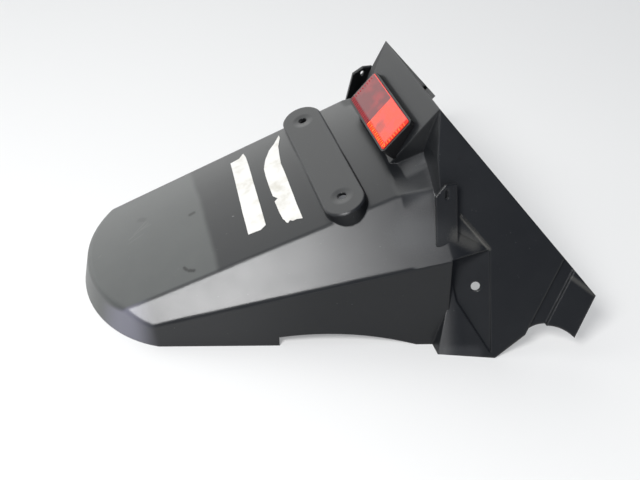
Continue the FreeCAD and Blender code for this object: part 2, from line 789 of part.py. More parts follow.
ARCH_END = behind("arch_setback")
ARCH_START = f"({ARCH_END} - Sizes.arch_length)"
arch_foot = (along(ARCH_END), "0")
arch_points = [
    (along(ARCH_START), f"-{FAR}"),
    (along(ARCH_END), f"-{FAR}"),
    arch_foot,
    (along(ARCH_START), "Sizes.arch_step"),
]
side_arch = prism("side_arch", outline("side_arch_outline", XZ, {}, arch_points, {
    arch_points.index(arch_foot): (along(behind("arch_crown_setback")), "Sizes.arch_rise"),
}), f"2 * {FAR}")


# The holes

def drill(name, diameter, depth, paths, axis, angle):
    """Cylinder along its own Z, turned about an axis, centred on its place."""
    item = doc.addObject("Part::Cylinder", name)
    item.Placement = Placement(Vector(), Rotation(axis, angle))
    return bind(item, {"Radius": f"({diameter}) / 2", "Height": depth, **paths})


def pad_drill(name, side, diameter, depth, lift):
    """Cylinder square to the pad under one of its holes, up to a lift over the deck's edge plane."""
    run = f"({lift} - {depth})"
    return drill(name, diameter, depth, {
        "Placement.Base.x": along(f"{PAD_STATION} - {run} * {sine('deck_slope')}"),
        "Placement.Base.y": f"{side} * Sizes.pad_hole_spacing / 2",
        "Placement.Base.z": f"{deck_height(PAD_STATION)} + {run} * {cosine('deck_slope')}",
        "Placement.Rotation.Angle": "Sizes.deck_slope * 1 deg",
    }, Vector(0, -1, 0), value_of("Sizes.deck_slope"))


def side_drill(name):
    """Cylinder square to the left wing, from inside it to outside it."""
    reach = f"(6 * {WALL})"
    inward = f"({reach} / 2 / {SLANT})"
    base = (
        along(f"{ahead('side_hole_offset')} + {inward} * {tangent('wing_splay')}"),
        f"{wing_half(ahead('side_hole_offset'), 'Sizes.side_hole_height')} - {inward}",
        f"Sizes.side_hole_height - {inward} * {tangent('wing_lean')}",
    )
    turn = f"rotation(vector(-1; -{tangent('wing_splay')}; 0); acos({tangent('wing_lean')} / {SLANT}))"
    item = doc.addObject("Part::Cylinder", name)
    return bind(item, {
        "Radius": "Sizes.side_hole / 2",
        "Height": reach,
        "Placement": f"placement(vector({base[0]}; {base[1]}; {base[2]}); {turn})",
    })


PANEL_LENGTH = f"sqrt(1 + {PANEL_RUN} ^ 2)"
STUD_HEIGHT = f"({RIM_HEIGHT} - Sizes.stud_drop)"
STUD_STATION = panel_station(STUD_HEIGHT)
PANEL_LEAN = f"atan({PANEL_RUN})"


def stud_place(name, side, diameter, start, depth):
    """Cylinder square to the panel on one stud's axis, from a start behind the panel's face."""
    item = doc.addObject("Part::Cylinder", name)
    item.Placement = Placement(Vector(), Rotation(Vector(0, 1, 0), 90))
    return bind(item, {
        "Radius": f"({diameter}) / 2",
        "Height": depth,
        "Placement.Base.x": along(f"{STUD_STATION} + ({start}) / {PANEL_LENGTH}"),
        "Placement.Base.y": f"{side} * Sizes.stud_spacing / 2",
        "Placement.Base.z": f"{STUD_HEIGHT} - ({start}) * {PANEL_RUN} / {PANEL_LENGTH}",
        "Placement.Rotation.Angle": f"90 deg + {PANEL_LEAN}",
    })


SIDES = (("left", "1"), ("right", "-1"))
STUD_HOLE = "Sizes.stud_diameter + 2 * Sizes.stud_clearance"
side_hole_left = side_drill("side_hole_left")
drills = [side_hole_left, mirrored("side_hole_right", side_hole_left)]
for label, sign in SIDES:
    drills.append(pad_drill(f"pad_hole_{label}", sign, "Sizes.pad_hole", "4 * Sizes.pad_lift",
                            f"(Sizes.pad_lift + {OVERRUN})"))
    drills.append(pad_drill(f"pad_dish_{label}", sign, "Sizes.pad_dish",
                            f"Sizes.pad_dish_depth + {OVERRUN}", f"(Sizes.pad_lift + {OVERRUN})"))
    drills.append(stud_place(f"stud_hole_{label}", sign, STUD_HOLE, f"-{WALL}", f"3 * {WALL}"))


# The moulding: outer form less its hollow, trimmed and drilled

outer_form = fuse("outer_form", body_outer, wings, turret, scoop_left, mirrored("scoop_right", scoop_left),
                  *runouts, *ridges, pad, lug_left, lug_right)
hollow_form = fuse("hollow_form", body_hollow, wings_hollow, cut("passage_closed", passage, recess_ends),
                   turret_hollow, scoop_hollow_left, mirrored("scoop_hollow_right", scoop_hollow_left),
                   pad_hollow)
moulding = cut("moulding", outer_form, hollow_form)
openings = fuse("openings", front_trim, side_arch, *drills)
mudguard = cut("mudguard", moulding, openings)
mudguard.Label = "mudguard"


# The reflector: a red lens in a black casing with two moulded-in studs

LENS_TOP = f"({RIM_HEIGHT} - Sizes.lens_drop)"
LENS_TOP_STATION = f"({panel_station(LENS_TOP)} - Sizes.lens_stand_off * {PANEL_LENGTH})"
LENS_TILT = f"(90 deg - {PANEL_LEAN} - Sizes.lens_wedge * 1 deg)"


def lens_block(name, border, start, depth):
    """Rounded block square to the lens, from a start behind the lens face."""
    half_length = f"(Sizes.lens_length / 2 + {border})"
    foot = f"(-Sizes.lens_height - {border})"
    head = f"({border})"
    corner = f"(Sizes.casing_corner - Sizes.casing_border + {border})"
    nip = f"({corner} * (1 - cos(45 deg)))"
    points = [
        (foot, f"{half_length} - {corner}"),
        (foot, f"-{half_length} + {corner}"),
        (f"{foot} + {corner}", f"-{half_length}"),
        (f"{head} - {corner}", f"-{half_length}"),
        (head, f"-{half_length} + {corner}"),
        (head, f"{half_length} - {corner}"),
        (f"{head} - {corner}", half_length),
        (f"{foot} + {corner}", half_length),
    ]
    arcs = {
        1: (f"{foot} + {nip}", f"-{half_length} + {nip}"),
        3: (f"{head} - {nip}", f"-{half_length} + {nip}"),
        5: (f"{head} - {nip}", f"{half_length} - {nip}"),
        7: (f"{foot} + {nip}", f"{half_length} - {nip}"),
    }
    sketch = outline(f"{name}_outline", XY, {}, points, arcs)
    sketch.Placement = Placement(Vector(), Rotation(Vector(0, -1, 0), value_of(LENS_TILT)))
    bind(sketch, {
        "Placement.Base.x": along(f"{LENS_TOP_STATION} + ({start}) * sin({LENS_TILT})"),
        "Placement.Base.z": f"{LENS_TOP} - ({start}) * cos({LENS_TILT})",
        "Placement.Rotation.Angle": LENS_TILT,
    })
    item = doc.addObject("Part::Extrusion", name)
    item.Base = sketch
    item.DirMode = "Normal"
    item.Solid = True
    item.LengthFwd = 0
    return bind(item, {"LengthRev": depth})


lens = lens_block("reflector_lens", "0", "0", "Sizes.lens_thickness")
lens.Label = "reflector_lens"

casing_depth = "(4 * Sizes.lens_thickness + Sizes.lens_height / 4)"
casing_block = cut(
    "casing_block",
    lens_block("casing_blank", "Sizes.casing_border", "Sizes.casing_lip", casing_depth),
    fuse("casing_seat", lens, turret),
)
studs = [
    stud_place(f"stud_{label}", sign, "Sizes.stud_diameter", "-Sizes.lens_thickness / 2",
               f"Sizes.lens_thickness / 2 + {WALL} + Sizes.stud_reach")
    for label, sign in SIDES
]
casing = fuse("reflector_casing", casing_block, *studs)
casing.Label = "reflector_casing"


# The washers and nuts behind the panel

def compound(name, shapes):
    """Group of separate solids in one node."""
    item = doc.addObject("Part::Compound", name)
    item.Links = shapes
    item.Label = name
    return item


def ring(name, side, body, start, depth):
    """Body with the stud's clearance hole."""
    bore = stud_place(f"{name}_bore", side, STUD_HOLE, f"({start}) - {OVERRUN}", f"{depth} + 2 * {OVERRUN}")
    return cut(name, body, bore)


def hexagon(name, side, start, depth):
    """Hexagonal block on a stud's axis."""
    base = doc.addObject("Part::Prism", name)
    base.Polygon = 6
    base.Placement = Placement(Vector(), Rotation(Vector(0, 1, 0), 90))
    return bind(base, {
        "Circumradius": "Sizes.nut_flats / 2 / cos(30 deg)",
        "Height": depth,
        "Placement.Base.x": along(f"{STUD_STATION} + ({start}) / {PANEL_LENGTH}"),
        "Placement.Base.y": f"{side} * Sizes.stud_spacing / 2",
        "Placement.Base.z": f"{STUD_HEIGHT} - ({start}) * {PANEL_RUN} / {PANEL_LENGTH}",
        "Placement.Rotation.Angle": f"90 deg + {PANEL_LEAN}",
    })


NUT_START = f"({WALL} + Sizes.washer_thickness)"
washers = compound("stud_washers", [
    ring(f"washer_{label}", sign,
         stud_place(f"washer_disc_{label}", sign, "Sizes.washer_diameter", WALL, "Sizes.washer_thickness"),
         WALL, "Sizes.washer_thickness")
    for label, sign in SIDES
])
nuts = compound("stud_nuts", [
    ring(f"nut_{label}", sign, hexagon(f"nut_hex_{label}", sign, NUT_START, "Sizes.nut_thickness"),
         NUT_START, "Sizes.nut_thickness")
    for label, sign in SIDES
])

doc.recompute()

# Every object has to have come out whole before anything is written
for item in doc.Objects:
    failed = [state for state in item.State if state in ("Invalid", "Error")]
    if failed:
        raise RuntimeError(f"{item.Name} did not rebuild: {item.State}")

NODES = (mudguard, casing, lens, washers, nuts)
os.makedirs("parts", exist_ok=True)
for node in NODES:
    shape = node.Shape
    if shape.isNull() or not shape.isValid():
        raise RuntimeError(f"{node.Label} has no valid shape")
    print(node.Label, "solids", len(shape.Solids), "volume", round(shape.Volume / 1000, 2), "cm3")
    shape.exportStep(f"parts/{node.Label}.step")
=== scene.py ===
"""Rear mudguard of satin black plastic with a red reflector, its fasteners and two strips of paper tape."""

import logging
from dataclasses import dataclass, field
from enum import Enum
from functools import cached_property
from math import cos, radians, sin, tan

import bmesh
import bpy
from mathutils import Euler, Matrix, Vector
from mathutils.bvhtree import BVHTree


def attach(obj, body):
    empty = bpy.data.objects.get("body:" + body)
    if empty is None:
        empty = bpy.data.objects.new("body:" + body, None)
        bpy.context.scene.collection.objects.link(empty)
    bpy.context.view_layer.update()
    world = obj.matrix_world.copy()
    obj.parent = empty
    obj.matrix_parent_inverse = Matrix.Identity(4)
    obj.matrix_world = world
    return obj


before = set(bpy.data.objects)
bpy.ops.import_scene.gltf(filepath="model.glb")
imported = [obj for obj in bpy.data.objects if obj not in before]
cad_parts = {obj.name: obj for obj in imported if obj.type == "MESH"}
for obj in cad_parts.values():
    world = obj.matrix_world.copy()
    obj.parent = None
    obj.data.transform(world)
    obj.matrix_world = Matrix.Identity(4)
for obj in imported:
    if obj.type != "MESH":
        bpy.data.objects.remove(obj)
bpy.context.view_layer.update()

MM = 0.001
BODY = "root"
# Stations are counted from the tail tip, and the frame's origin is in the middle of the length
HALF_LENGTH = 210.0
EDGE_SAMPLES = 6
TONE_SPREAD = (0.2, 0.8)
DOWN = Vector((0, 0, -1))

log = logging.getLogger("mudguard")

Colour = tuple[float, float, float]
Point2 = tuple[float, float]
Point3 = tuple[float, float, float]
# Two ends of a smooth step: where a mask is 0 and where it is 1, or the values that a look runs between
Span = tuple[float, float]
Material = bpy.types.Material
Socket = bpy.types.NodeSocket
Tree = bpy.types.NodeTree
TreeNode = bpy.types.Node


class Node(str, Enum):
    """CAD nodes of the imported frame."""

    MUDGUARD = "mudguard"
    CASING = "reflector_casing"
    LENS = "reflector_lens"
    WASHERS = "stud_washers"
    NUTS = "stud_nuts"


class Slot(str, Enum):
    """Material slots of the record."""

    MOULDING = "mudguard_plastic"
    CASING = "casing_plastic"
    LENS = "lens_plastic"
    STEEL = "zinc_steel"
    TAPE = "tape_paper"


class MixKind(Enum):
    """What a Mix node mixes, with the indices of its first input and of its result."""

    VECTOR = (4, 1)
    RGBA = (6, 2)


def spot(station: float, y: float, z: float) -> Vector:
    """Point of the frame in metres from a station, Y and Z in millimetres."""
    return Vector(((station - HALF_LENGTH) * MM, y * MM, z * MM))


def rgba(colour: Colour) -> tuple[float, float, float, float]:
    """Colour with full alpha."""
    return (*colour, 1.0)


class Graph:
    """Adds nodes to a node tree and feeds their sockets."""

    def __init__(self, tree: Tree) -> None:
        """Takes the tree to build in."""
        self.tree = tree

    def add(self, kind: str, inputs: dict | None = None, **settings) -> TreeNode:
        """Adds a node.

        Args:
            kind: Type of the node.
            inputs: Sockets or constants for its inputs, by their names or indices.
            **settings: Properties of the node, set before its inputs.

        Returns:
            The new node.
        """
        node = self.tree.nodes.new(kind)
        for name, value in settings.items():
            setattr(node, name, value)
        self.fill(node, inputs or {})
        return node

    def fill(self, node: TreeNode, inputs: dict) -> None:
        """Feeds a node's inputs by their names or indices."""
        for name, value in inputs.items():
            self.feed(node.inputs[name], value)

    def feed(self, socket: Socket, value) -> None:
        """Links a socket to another one, or gives it a constant."""
        if isinstance(value, Socket):
            self.tree.links.new(value, socket)
        else:
            socket.default_value = value

    def math(self, operation: str, *values, clamp: bool = False) -> Socket:
        """Math node on up to three values."""
        inputs = dict(enumerate(values))
        return self.add("ShaderNodeMath", inputs, operation=operation, use_clamp=clamp).outputs[0]

    def chain(self, operation: str, first, *others) -> Socket:
        """Runs one operation over two or more values in turn."""
        for value in others:
            first = self.math(operation, first, value)
        return first

    def vector(self, operation: str, *values) -> TreeNode:
        """Vector math node on up to two vectors."""
        return self.add("ShaderNodeVectorMath", dict(enumerate(values)), operation=operation)

    def ramp(self, value, low, high: float, start: float = 0.0, end: float = 1.0) -> Socket:
        """Smooth step of a value from low to high.

        Args:
            value: Socket to map.
            low: Value that gives start.
            high: Value that gives end.
            start: Result at low.
            end: Result at high.

        Returns:
            The mapped value's socket.
        """
        inputs = {"Value": value, "From Min": low, "From Max": high, "To Min": start, "To Max": end}
        return self.add("ShaderNodeMapRange", inputs, interpolation_type="SMOOTHSTEP").outputs["Result"]

    def step(self, value, span: Span) -> Socket:
        """Smooth step of a length from 0 to 1 over a span in millimetres."""
        return self.ramp(value, span[0] * MM, span[1] * MM)

    def mix(self, factor, first, second) -> Socket:
        """Mixes two colours by a factor."""
        colours = (rgba(value) if isinstance(value, tuple) else value for value in (first, second))
        return self._mixed(MixKind.RGBA, factor, *colours)

    def mix_vectors(self, factor, first, second) -> Socket:
        """Mixes two vectors by a factor."""
        return self._mixed(MixKind.VECTOR, factor, first, second)

    def _mixed(self, kind: MixKind, factor, first, second) -> Socket:
        """Mixes two values of a kind by a factor."""
        entry, result = kind.value
        inputs = {"Factor": factor, entry: first, entry + 1: second}
        return self.add("ShaderNodeMix", inputs, data_type=kind.name).outputs[result]

    def noise(self, vector, scale, detail: float = 2.0, roughness: float = 0.5) -> Socket:
        """Noise value at a vector."""
        inputs = {"Vector": vector, "Scale": scale, "Detail": detail, "Roughness": roughness}
        return self.add("ShaderNodeTexNoise", inputs).outputs["Fac"]

    def place(self) -> Socket:
        """Object coordinates."""
        return self.add("ShaderNodeTexCoord").outputs["Object"]

    def facing(self) -> TreeNode:
        """Node that gives X, Y and Z of the mesh's own normal."""
        return self.split(self.add("ShaderNodeTexCoord").outputs["Normal"])

    def split(self, vector) -> TreeNode:
        """Node that gives X, Y and Z of a vector."""
        return self.add("ShaderNodeSeparateXYZ", {"Vector": vector})

    def join(self, x, y, z) -> Socket:
        """Vector from its X, Y and Z."""
        return self.add("ShaderNodeCombineXYZ", {"X": x, "Y": y, "Z": z}).outputs["Vector"]

    def stretched(self, vector, scale: Point3, turn: float = 0.0) -> Socket:
        """Vector scaled on each axis and turned about Z by radians."""
        inputs = {"Vector": vector, "Rotation": (0.0, 0.0, turn), "Scale": scale}
        return self.add("ShaderNodeMapping", inputs).outputs["Vector"]

    def group(self, tree: Tree, **values: float) -> TreeNode:
        """Puts a shared effect into a material and sets its inputs."""
        return self.add("ShaderNodeGroup", values, node_tree=tree)


class Effects:
    """Node groups shared by several materials, each made once."""

    SLOW_SCALE = 14.0
    BLOTCH_SCALE = 55.0
    STREAK_TURNS = (0.5, -0.9)
    STREAK_STRETCHES = ((22.0, 900.0, 22.0), (30.0, 1100.0, 30.0))
    STREAK_REACH = 0.36
    STREAK_FULL = 0.98
    PATCH_SCALE = 16.0
    PATCH_SPREAD = (0.5, 0.7)
    SPECK_SCALE = 260.0
    SPECK_EDGE = (0.16, 0.05)
    DUST_SCALE = 90.0
    DUST_SPREAD = (0.55, 0.7)

    @staticmethod
    def _group(name: str, inputs: dict[str, float],
               outputs: tuple[str, ...]) -> tuple[Graph, TreeNode, TreeNode]:
        """Empty shader group with number inputs and outputs.

        Args:
            name: Name of the group.
            inputs: Input names with their default values.
            outputs: Output names.

        Returns:
            The tree's graph, its input node and its output node.
        """
        tree = bpy.data.node_groups.new(name, "ShaderNodeTree")
        for label, value in inputs.items():
            socket = tree.interface.new_socket(label, in_out="INPUT", socket_type="NodeSocketFloat")
            socket.default_value = value
        for label in outputs:
            tree.interface.new_socket(label, in_out="OUTPUT", socket_type="NodeSocketFloat")
        graph = Graph(tree)
        return graph, graph.add("NodeGroupInput"), graph.add("NodeGroupOutput")

    @cached_property
    def grain(self) -> Tree:
        """Fine moulded grain over a slow waviness: outputs Height and Tone."""
        inputs = {"Scale": 1800.0, "Waviness": 0.3}
        graph, ins, outs = self._group("moulded_grain", inputs, ("Height", "Tone"))
        place = graph.place()
        fine = graph.noise(place, ins.outputs["Scale"], roughness=0.6)
        slow = graph.noise(place, self.SLOW_SCALE, roughness=0.4)
        blotches = graph.noise(place, self.BLOTCH_SCALE, detail=4.0, roughness=0.6)
        height = graph.math("MULTIPLY_ADD", slow, ins.outputs["Waviness"], fine)
        tone = graph.math("MULTIPLY_ADD", blotches, 0.5, graph.math("MULTIPLY", slow, 0.5))
        graph.fill(outs, {"Height": height, "Tone": tone})
        return graph.tree

    @cached_property
    def scratches(self) -> Tree:
        """Fine streaks in two directions: outputs Mask."""
        graph, ins, outs = self._group("scratches", {"Density": 0.5}, ("Mask",))
        place = graph.place()
        reach = graph.math("MULTIPLY", ins.outputs["Density"], self.STREAK_REACH)
        threshold = graph.math("SUBTRACT", 1.0, reach)
        masks = []
        for turn, stretch in zip(self.STREAK_TURNS, self.STREAK_STRETCHES):
            streak = graph.noise(graph.stretched(place, stretch, turn), 1.0, detail=1.0)
            masks.append(graph.ramp(streak, threshold, self.STREAK_FULL))
        patches = graph.ramp(graph.noise(place, self.PATCH_SCALE), *self.PATCH_SPREAD)
        graph.fill(outs, {"Mask": graph.math("MULTIPLY", graph.math("MAXIMUM", *masks), patches)})
        return graph.tree

    @cached_property
    def dust(self) -> Tree:
        """Scattered specks: outputs Mask."""
        graph, ins, outs = self._group("dust", {"Amount": 0.4}, ("Mask",))
        place = graph.place()
        inputs = {"Vector": place, "Scale": self.SPECK_SCALE}
        cells = graph.add("ShaderNodeTexVoronoi", inputs, feature="F1")
        speck = graph.ramp(cells.outputs["Distance"], *self.SPECK_EDGE)
        keep = graph.ramp(graph.noise(place, self.DUST_SCALE, roughness=0.6), *self.DUST_SPREAD)
        graph.fill(outs, {"Mask": graph.chain("MULTIPLY", speck, keep, ins.outputs["Amount"])})
        return graph.tree


EFFECTS = Effects()


def new_material(name: str) -> tuple[Material, Graph, TreeNode]:
    """Makes a material with a Principled shader.

    Args:
        name: Name of the material.

    Returns:
        The material, its graph and its Principled node.
    """
    material = bpy.data.materials.new(name)
    material.use_nodes = True
    material.node_tree.nodes.clear()
    graph = Graph(material.node_tree)
    shader = graph.add("ShaderNodeBsdfPrincipled")
    graph.add("ShaderNodeOutputMaterial", {"Surface": shader.outputs["BSDF"]})
    return material, graph, shader


def soft_edges(graph: Graph, radius: float) -> Socket:
    """Normal with its edges softened by a radius in millimetres."""
    return graph.add("ShaderNodeBevel", {"Radius": radius * MM}, samples=EDGE_SAMPLES).outputs["Normal"]


def bump(graph: Graph, height, strength: float, depth: float, normal=None) -> Socket:
    """Normal from a height.

    Args:
        graph: Graph of the material.
        height: Height socket.
        strength: Strength of the relief.
        depth: Depth of the relief in millimetres.
        normal: Normal below the relief, or None for the mesh's own.

    Returns:
        The normal's socket.
    """
    node = graph.add("ShaderNodeBump", {"Strength": strength, "Distance": depth * MM, "Height": height})
    if normal is not None:
        graph.feed(node.inputs["Normal"], normal)
    return node.outputs["Normal"]


def segment_distance(graph: Graph, place, start: Point3, end: Point3) -> Socket:
    """Distance from a place to a straight stroke.

    Args:
        graph: Graph of the material.
        place: Object coordinates.
        start: Start of the stroke as station, Y and Z in millimetres.
        end: End of the stroke, the same way.

    Returns:
        The distance's socket, in metres.
    """
    first, last = spot(*start), spot(*end)
    run = last - first
    away = graph.vector("SUBTRACT", place, tuple(first)).outputs["Vector"]
    along = graph.vector("DOT_PRODUCT", away, tuple(run)).outputs["Value"]
    share = graph.math("DIVIDE", along, max(run.length_squared, MM * MM), clamp=True)
    carried = graph.add("ShaderNodeVectorMath", {"Vector": tuple(run), "Scale": share}, operation="SCALE")
    return graph.vector("DISTANCE", away, carried.outputs["Vector"]).outputs["Value"]


def station_of(graph: Graph, axes: TreeNode) -> Socket:
    """Distance from the tail tip, in metres."""
    return graph.math("ADD", axes.outputs["X"], HALF_LENGTH * MM)


def off_middle(graph: Graph, axes: TreeNode) -> Socket:
    """Distance from the middle plane to either side, in metres."""
    return graph.math("ABSOLUTE", axes.outputs["Y"])


class MarkTone(Enum):
    """Kinds of marks on the moulding, with their strength. Some are painted light: a painted highlight on a
    ridge, a painted sheen, and lighter patches that are partly dust and partly painted light.
    """

    DARK = 0.92
    SMUDGE = 0.35
    PALE = 0.55
    FAINT = 0.16
    # Painted highlight: a light stroke that stands in for light caught on a ridge
    PAINTED_HIGHLIGHT = 0.5
    # Painted sheen as a soft lighter patch, and pale wear
    SHEEN_AND_WEAR = 0.3
    # Lighter patches, partly dust and partly painted light
    DUST_AND_PAINTED_LIGHT = 0.12


@dataclass(frozen=True)
class Mark:
    """Stroke or speck on the moulding, with a ragged soft edge given in shares of its width."""

    tone: MarkTone
    width: float
    start: Point3
    end: Point3
    ragged: float = 0.6
    outer: float = 1.3
    inner: float = 0.5
    grain: float = 900.0

    def mask(self, graph: Graph, place) -> Socket:
        """Ragged mask of the stroke."""
        away = segment_distance(graph, place, self.start, self.end)
        grain = graph.noise(place, self.grain)
        edge = graph.math("MULTIPLY_ADD", grain, self.width * self.ragged * MM, away)
        shape = graph.step(edge, (self.width * self.outer, self.width * self.inner))
        return graph.math("MULTIPLY", shape, self.tone.value)


@dataclass(frozen=True)
class Deck:
    """Plane and edges of the deck, for what lies on it alone."""

    tail_height: float = 15.5
    slope: float = 20.45
    half_tail: float = 71.3
    widening: float = 0.0437
    soft_height: Span = (-4.0, 1.0)
    soft_edge: Span = (1.0, -3.0)

    def mask(self, graph: Graph, axes: TreeNode) -> Socket:
        """Mask of the deck.

        Args:
            graph: Graph of the material.
            axes: Node that gives the Object coordinates X, Y and Z.

        Returns:
            The mask's socket, soft over the deck's edges.
        """
        above = graph.step(self.height_over(graph, axes), self.soft_height)
        return graph.math("MULTIPLY", above, graph.step(self.way_out(graph, axes), self.soft_edge))

    def height_over(self, graph: Graph, axes: TreeNode) -> Socket:
        """Height over the plane of the deck's edges, in metres."""
        rise = tan(radians(self.slope))
        plane = graph.math("MULTIPLY_ADD", station_of(graph, axes), rise, self.tail_height * MM)
        return graph.math("SUBTRACT", axes.outputs["Z"], plane)

    def way_out(self, graph: Graph, axes: TreeNode) -> Socket:
        """Distance outside the deck's edge, negative over the deck, in metres."""
        half = graph.math("MULTIPLY_ADD", station_of(graph, axes), self.widening, self.half_tail * MM)
        return graph.math("SUBTRACT", off_middle(graph, axes), half)


@dataclass(frozen=True)
class Sweep:
    """Soft run of the shading from deck and bevels into the scoops and run-outs beside the panel.

    The deck's way turns into the bevels' over past_edge, and outside that edge the sweep ends over wing_foot.
    Each other span goes from where the sweep is off to where it is full. The two slants are parts of the
    mesh's own normal, and the other spans are in millimetres.
    """

    deck_way: Point3 = (-0.35, 0.0, 0.94)
    bevel_way: Point3 = (-0.31, 0.59, 0.75)
    upward_slant: Span = (0.38, 0.43)
    rearward_slant: Span = (-0.85, -0.7)
    past_edge: Span = (-3.0, 5.0)
    wing_foot: Span = (-10.0, 0.0)
    from_above: Span = (22.0, 10.0)
    from_rear: Span = (266.0, 272.0)
    from_front: Span = (316.0, 292.0)
    from_middle: Span = (62.0, 70.0)

    def normal(self, graph: Graph, axes: TreeNode, deck: Deck, normal) -> Socket:
        """Turns a normal towards the deck's or the bevels' own way.

        Args:
            graph: Graph of the material.
            axes: Node that gives the Object coordinates X, Y and Z.
            deck: Deck that the sweep starts from.
            normal: Normal to start from.

        Returns:
            The swept normal's socket.
        """
        slant = graph.facing()
        station = station_of(graph, axes)
        over = deck.height_over(graph, axes)
        outer = graph.step(deck.way_out(graph, axes), self.past_edge)
        front, out, up = self.bevel_way
        bevel = graph.join(front, graph.math("MULTIPLY", graph.math("SIGN", axes.outputs["Y"]), out), up)
        target = graph.mix_vectors(outer, self.deck_way, bevel)
        wing = graph.math("MULTIPLY", outer, graph.step(over, self.wing_foot))
        mask = graph.chain(
            "MULTIPLY",
            graph.ramp(slant.outputs["Z"], *self.upward_slant),
            graph.ramp(slant.outputs["X"], *self.rearward_slant),
            graph.math("SUBTRACT", 1.0, wing),
            graph.step(over, self.from_above),
            graph.step(station, self.from_rear),
            graph.step(station, self.from_front),
            graph.step(off_middle(graph, axes), self.from_middle),
        )
        return graph.vector("NORMALIZE", graph.mix_vectors(mask, normal, target)).outputs["Vector"]


@dataclass(frozen=True)
class MouldingFinish:
    """Satin black polypropylene, faded over the tail, with scuffs and wear, and with painted light: a painted
    highlight, painted sheen and lighter patches that are partly dust.
    """

    black: Colour = (0.0060, 0.0068, 0.0080)
    tone: Colour = (0.0105, 0.0115, 0.0130)
    faded: Colour = (0.069, 0.073, 0.071)
    # Lavender grey of the tail corners, partly wear and partly a painted sheen
    worn: Colour = (0.135, 0.135, 0.165)
    dark: Colour = (0.006, 0.006, 0.006)
    pale: Colour = (0.20, 0.20, 0.20)
    # Grey of the painted highlight, the painted sheen and the pale wear at the wing tip
    highlight_and_wear_grey: Colour = (0.16, 0.155, 0.14)
    # Grey of the lighter patches on the moulding, which are partly dust and partly painted light
    dusty: Colour = (0.15, 0.154, 0.162)
    roughness: float = 0.34
    roughness_spread: float = 0.10
    faded_roughness: float = 0.05
    specular: float = 0.56
    side_specular: float = 0.36
    edge: float = 2.0
    relief: float = 0.22
    relief_depth: float = 0.2
    scratch_tint: float = 0.2
    scratch_depth: float = 0.4
    dish_centre: Point3 = (225.0, 64.0, 110.07)
    dish_slope: Span = (3.3, 11.0)
    dish_depth: float = 1.2
    fade_station: float = 112.0
    fade_width: float = 6.0
    fade_waver: float = 3.0
    waver_scale: float = 30.0
    faded_tone: Span = (0.1, 0.9)
    faded_least: float = 0.75
    upright_slant: Span = (0.38, 0.25)
    wall_stations: Span = (60.0, 240.0)
    end_half: Span = (78.0, 55.0)
    end_stations: Span = (40.0, 25.0)
    corner_half: Span = (42.0, 72.0)
    corner_stations: Span = (58.0, 34.0)
    deck: Deck = Deck()
    sweep: Sweep = Sweep()
    marks: tuple[Mark, ...] = (
        Mark(MarkTone.DARK, 3.0, (102.0, 1.5, 62.6), (105.4, 1.9, 63.9)),
        Mark(MarkTone.DARK, 2.2, (86.8, -58.2, 51.4), (88.2, -61.2, 51.6)),
        Mark(MarkTone.DARK, 2.6, (90.0, -63.0, 51.9), (94.0, -65.4, 53.1)),
        Mark(MarkTone.SMUDGE, 5.0, (57.9, 27.6, 44.8), (61.0, 25.0, 45.9)),
        Mark(MarkTone.DARK, 1.8, (317.0, -89.5, 150.7), (318.0, -90.0, 150.5)),
        Mark(MarkTone.DARK, 1.6, (114.0, -110.4, 4.0), (121.0, -111.6, 4.6)),
        Mark(MarkTone.PALE, 0.9, (136.6, -25.1, 74.5), (137.4, -25.5, 74.8)),
        Mark(MarkTone.FAINT, 0.8, (64.0, 16.0, 47.8), (44.7, 4.2, 41.1)),
        Mark(MarkTone.FAINT, 0.8, (62.2, 20.5, 47.0), (50.0, 9.0, 42.9)),
        Mark(MarkTone.FAINT, 0.7, (66.5, 13.0, 48.9), (57.0, 11.5, 45.4)),
        Mark(MarkTone.FAINT, 0.7, (58.0, 4.0, 46.0), (43.5, -1.0, 40.6)),
        Mark(MarkTone.FAINT, 0.8, (15.5, -1.6, 30.2), (18.0, 0.6, 31.2)),
        # Painted highlight along the near run-out's ridge
        Mark(MarkTone.PAINTED_HIGHLIGHT, 2.6, (316.0, -113.0, 107.9), (336.0, -133.0, 85.0)),
        # Painted sheen on the run-out's face beside the lug
        Mark(MarkTone.SHEEN_AND_WEAR, 11.0, (308.0, -121.0, 97.0), (322.0, -128.0, 90.0)),
        # Lighter patches on the bevel's front, the scoop and the heel: partly dust, partly painted light
        # where these faces would catch more light
        Mark(MarkTone.DUST_AND_PAINTED_LIGHT, 25.0, (272.0, -108.0, 94.0), (288.0, -114.0, 96.0)),
        Mark(MarkTone.DUST_AND_PAINTED_LIGHT, 22.0, (288.0, -82.0, 117.0), (292.0, -70.0, 125.0)),
        Mark(MarkTone.DUST_AND_PAINTED_LIGHT, 9.0, (296.0, -165.0, 2.0), (320.0, -172.0, 3.0)),
        # Pale wear along the wing tip's top edge
        Mark(MarkTone.SHEEN_AND_WEAR, 3.0, (402.0, -166.0, 66.5), (419.0, -179.0, 55.5)),
    )

    def build(self) -> Material:
        """Makes the material."""
        material, graph, shader = new_material(Slot.MOULDING.value)
        place = graph.place()
        axes = graph.split(place)
        grain = graph.group(EFFECTS.grain, Scale=1500.0, Waviness=0.6)
        tone = grain.outputs["Tone"]
        scratches = graph.group(EFFECTS.scratches, Density=0.8).outputs["Mask"]
        dust = graph.group(EFFECTS.dust, Amount=0.3).outputs["Mask"]
        fade = self._fade(graph, place, axes)
        colour = graph.mix(tone, self.black, self.tone)
        worn = graph.math("MULTIPLY", fade, graph.ramp(tone, *self.faded_tone, start=self.faded_least))
        colour = graph.mix(worn, colour, self.faded)
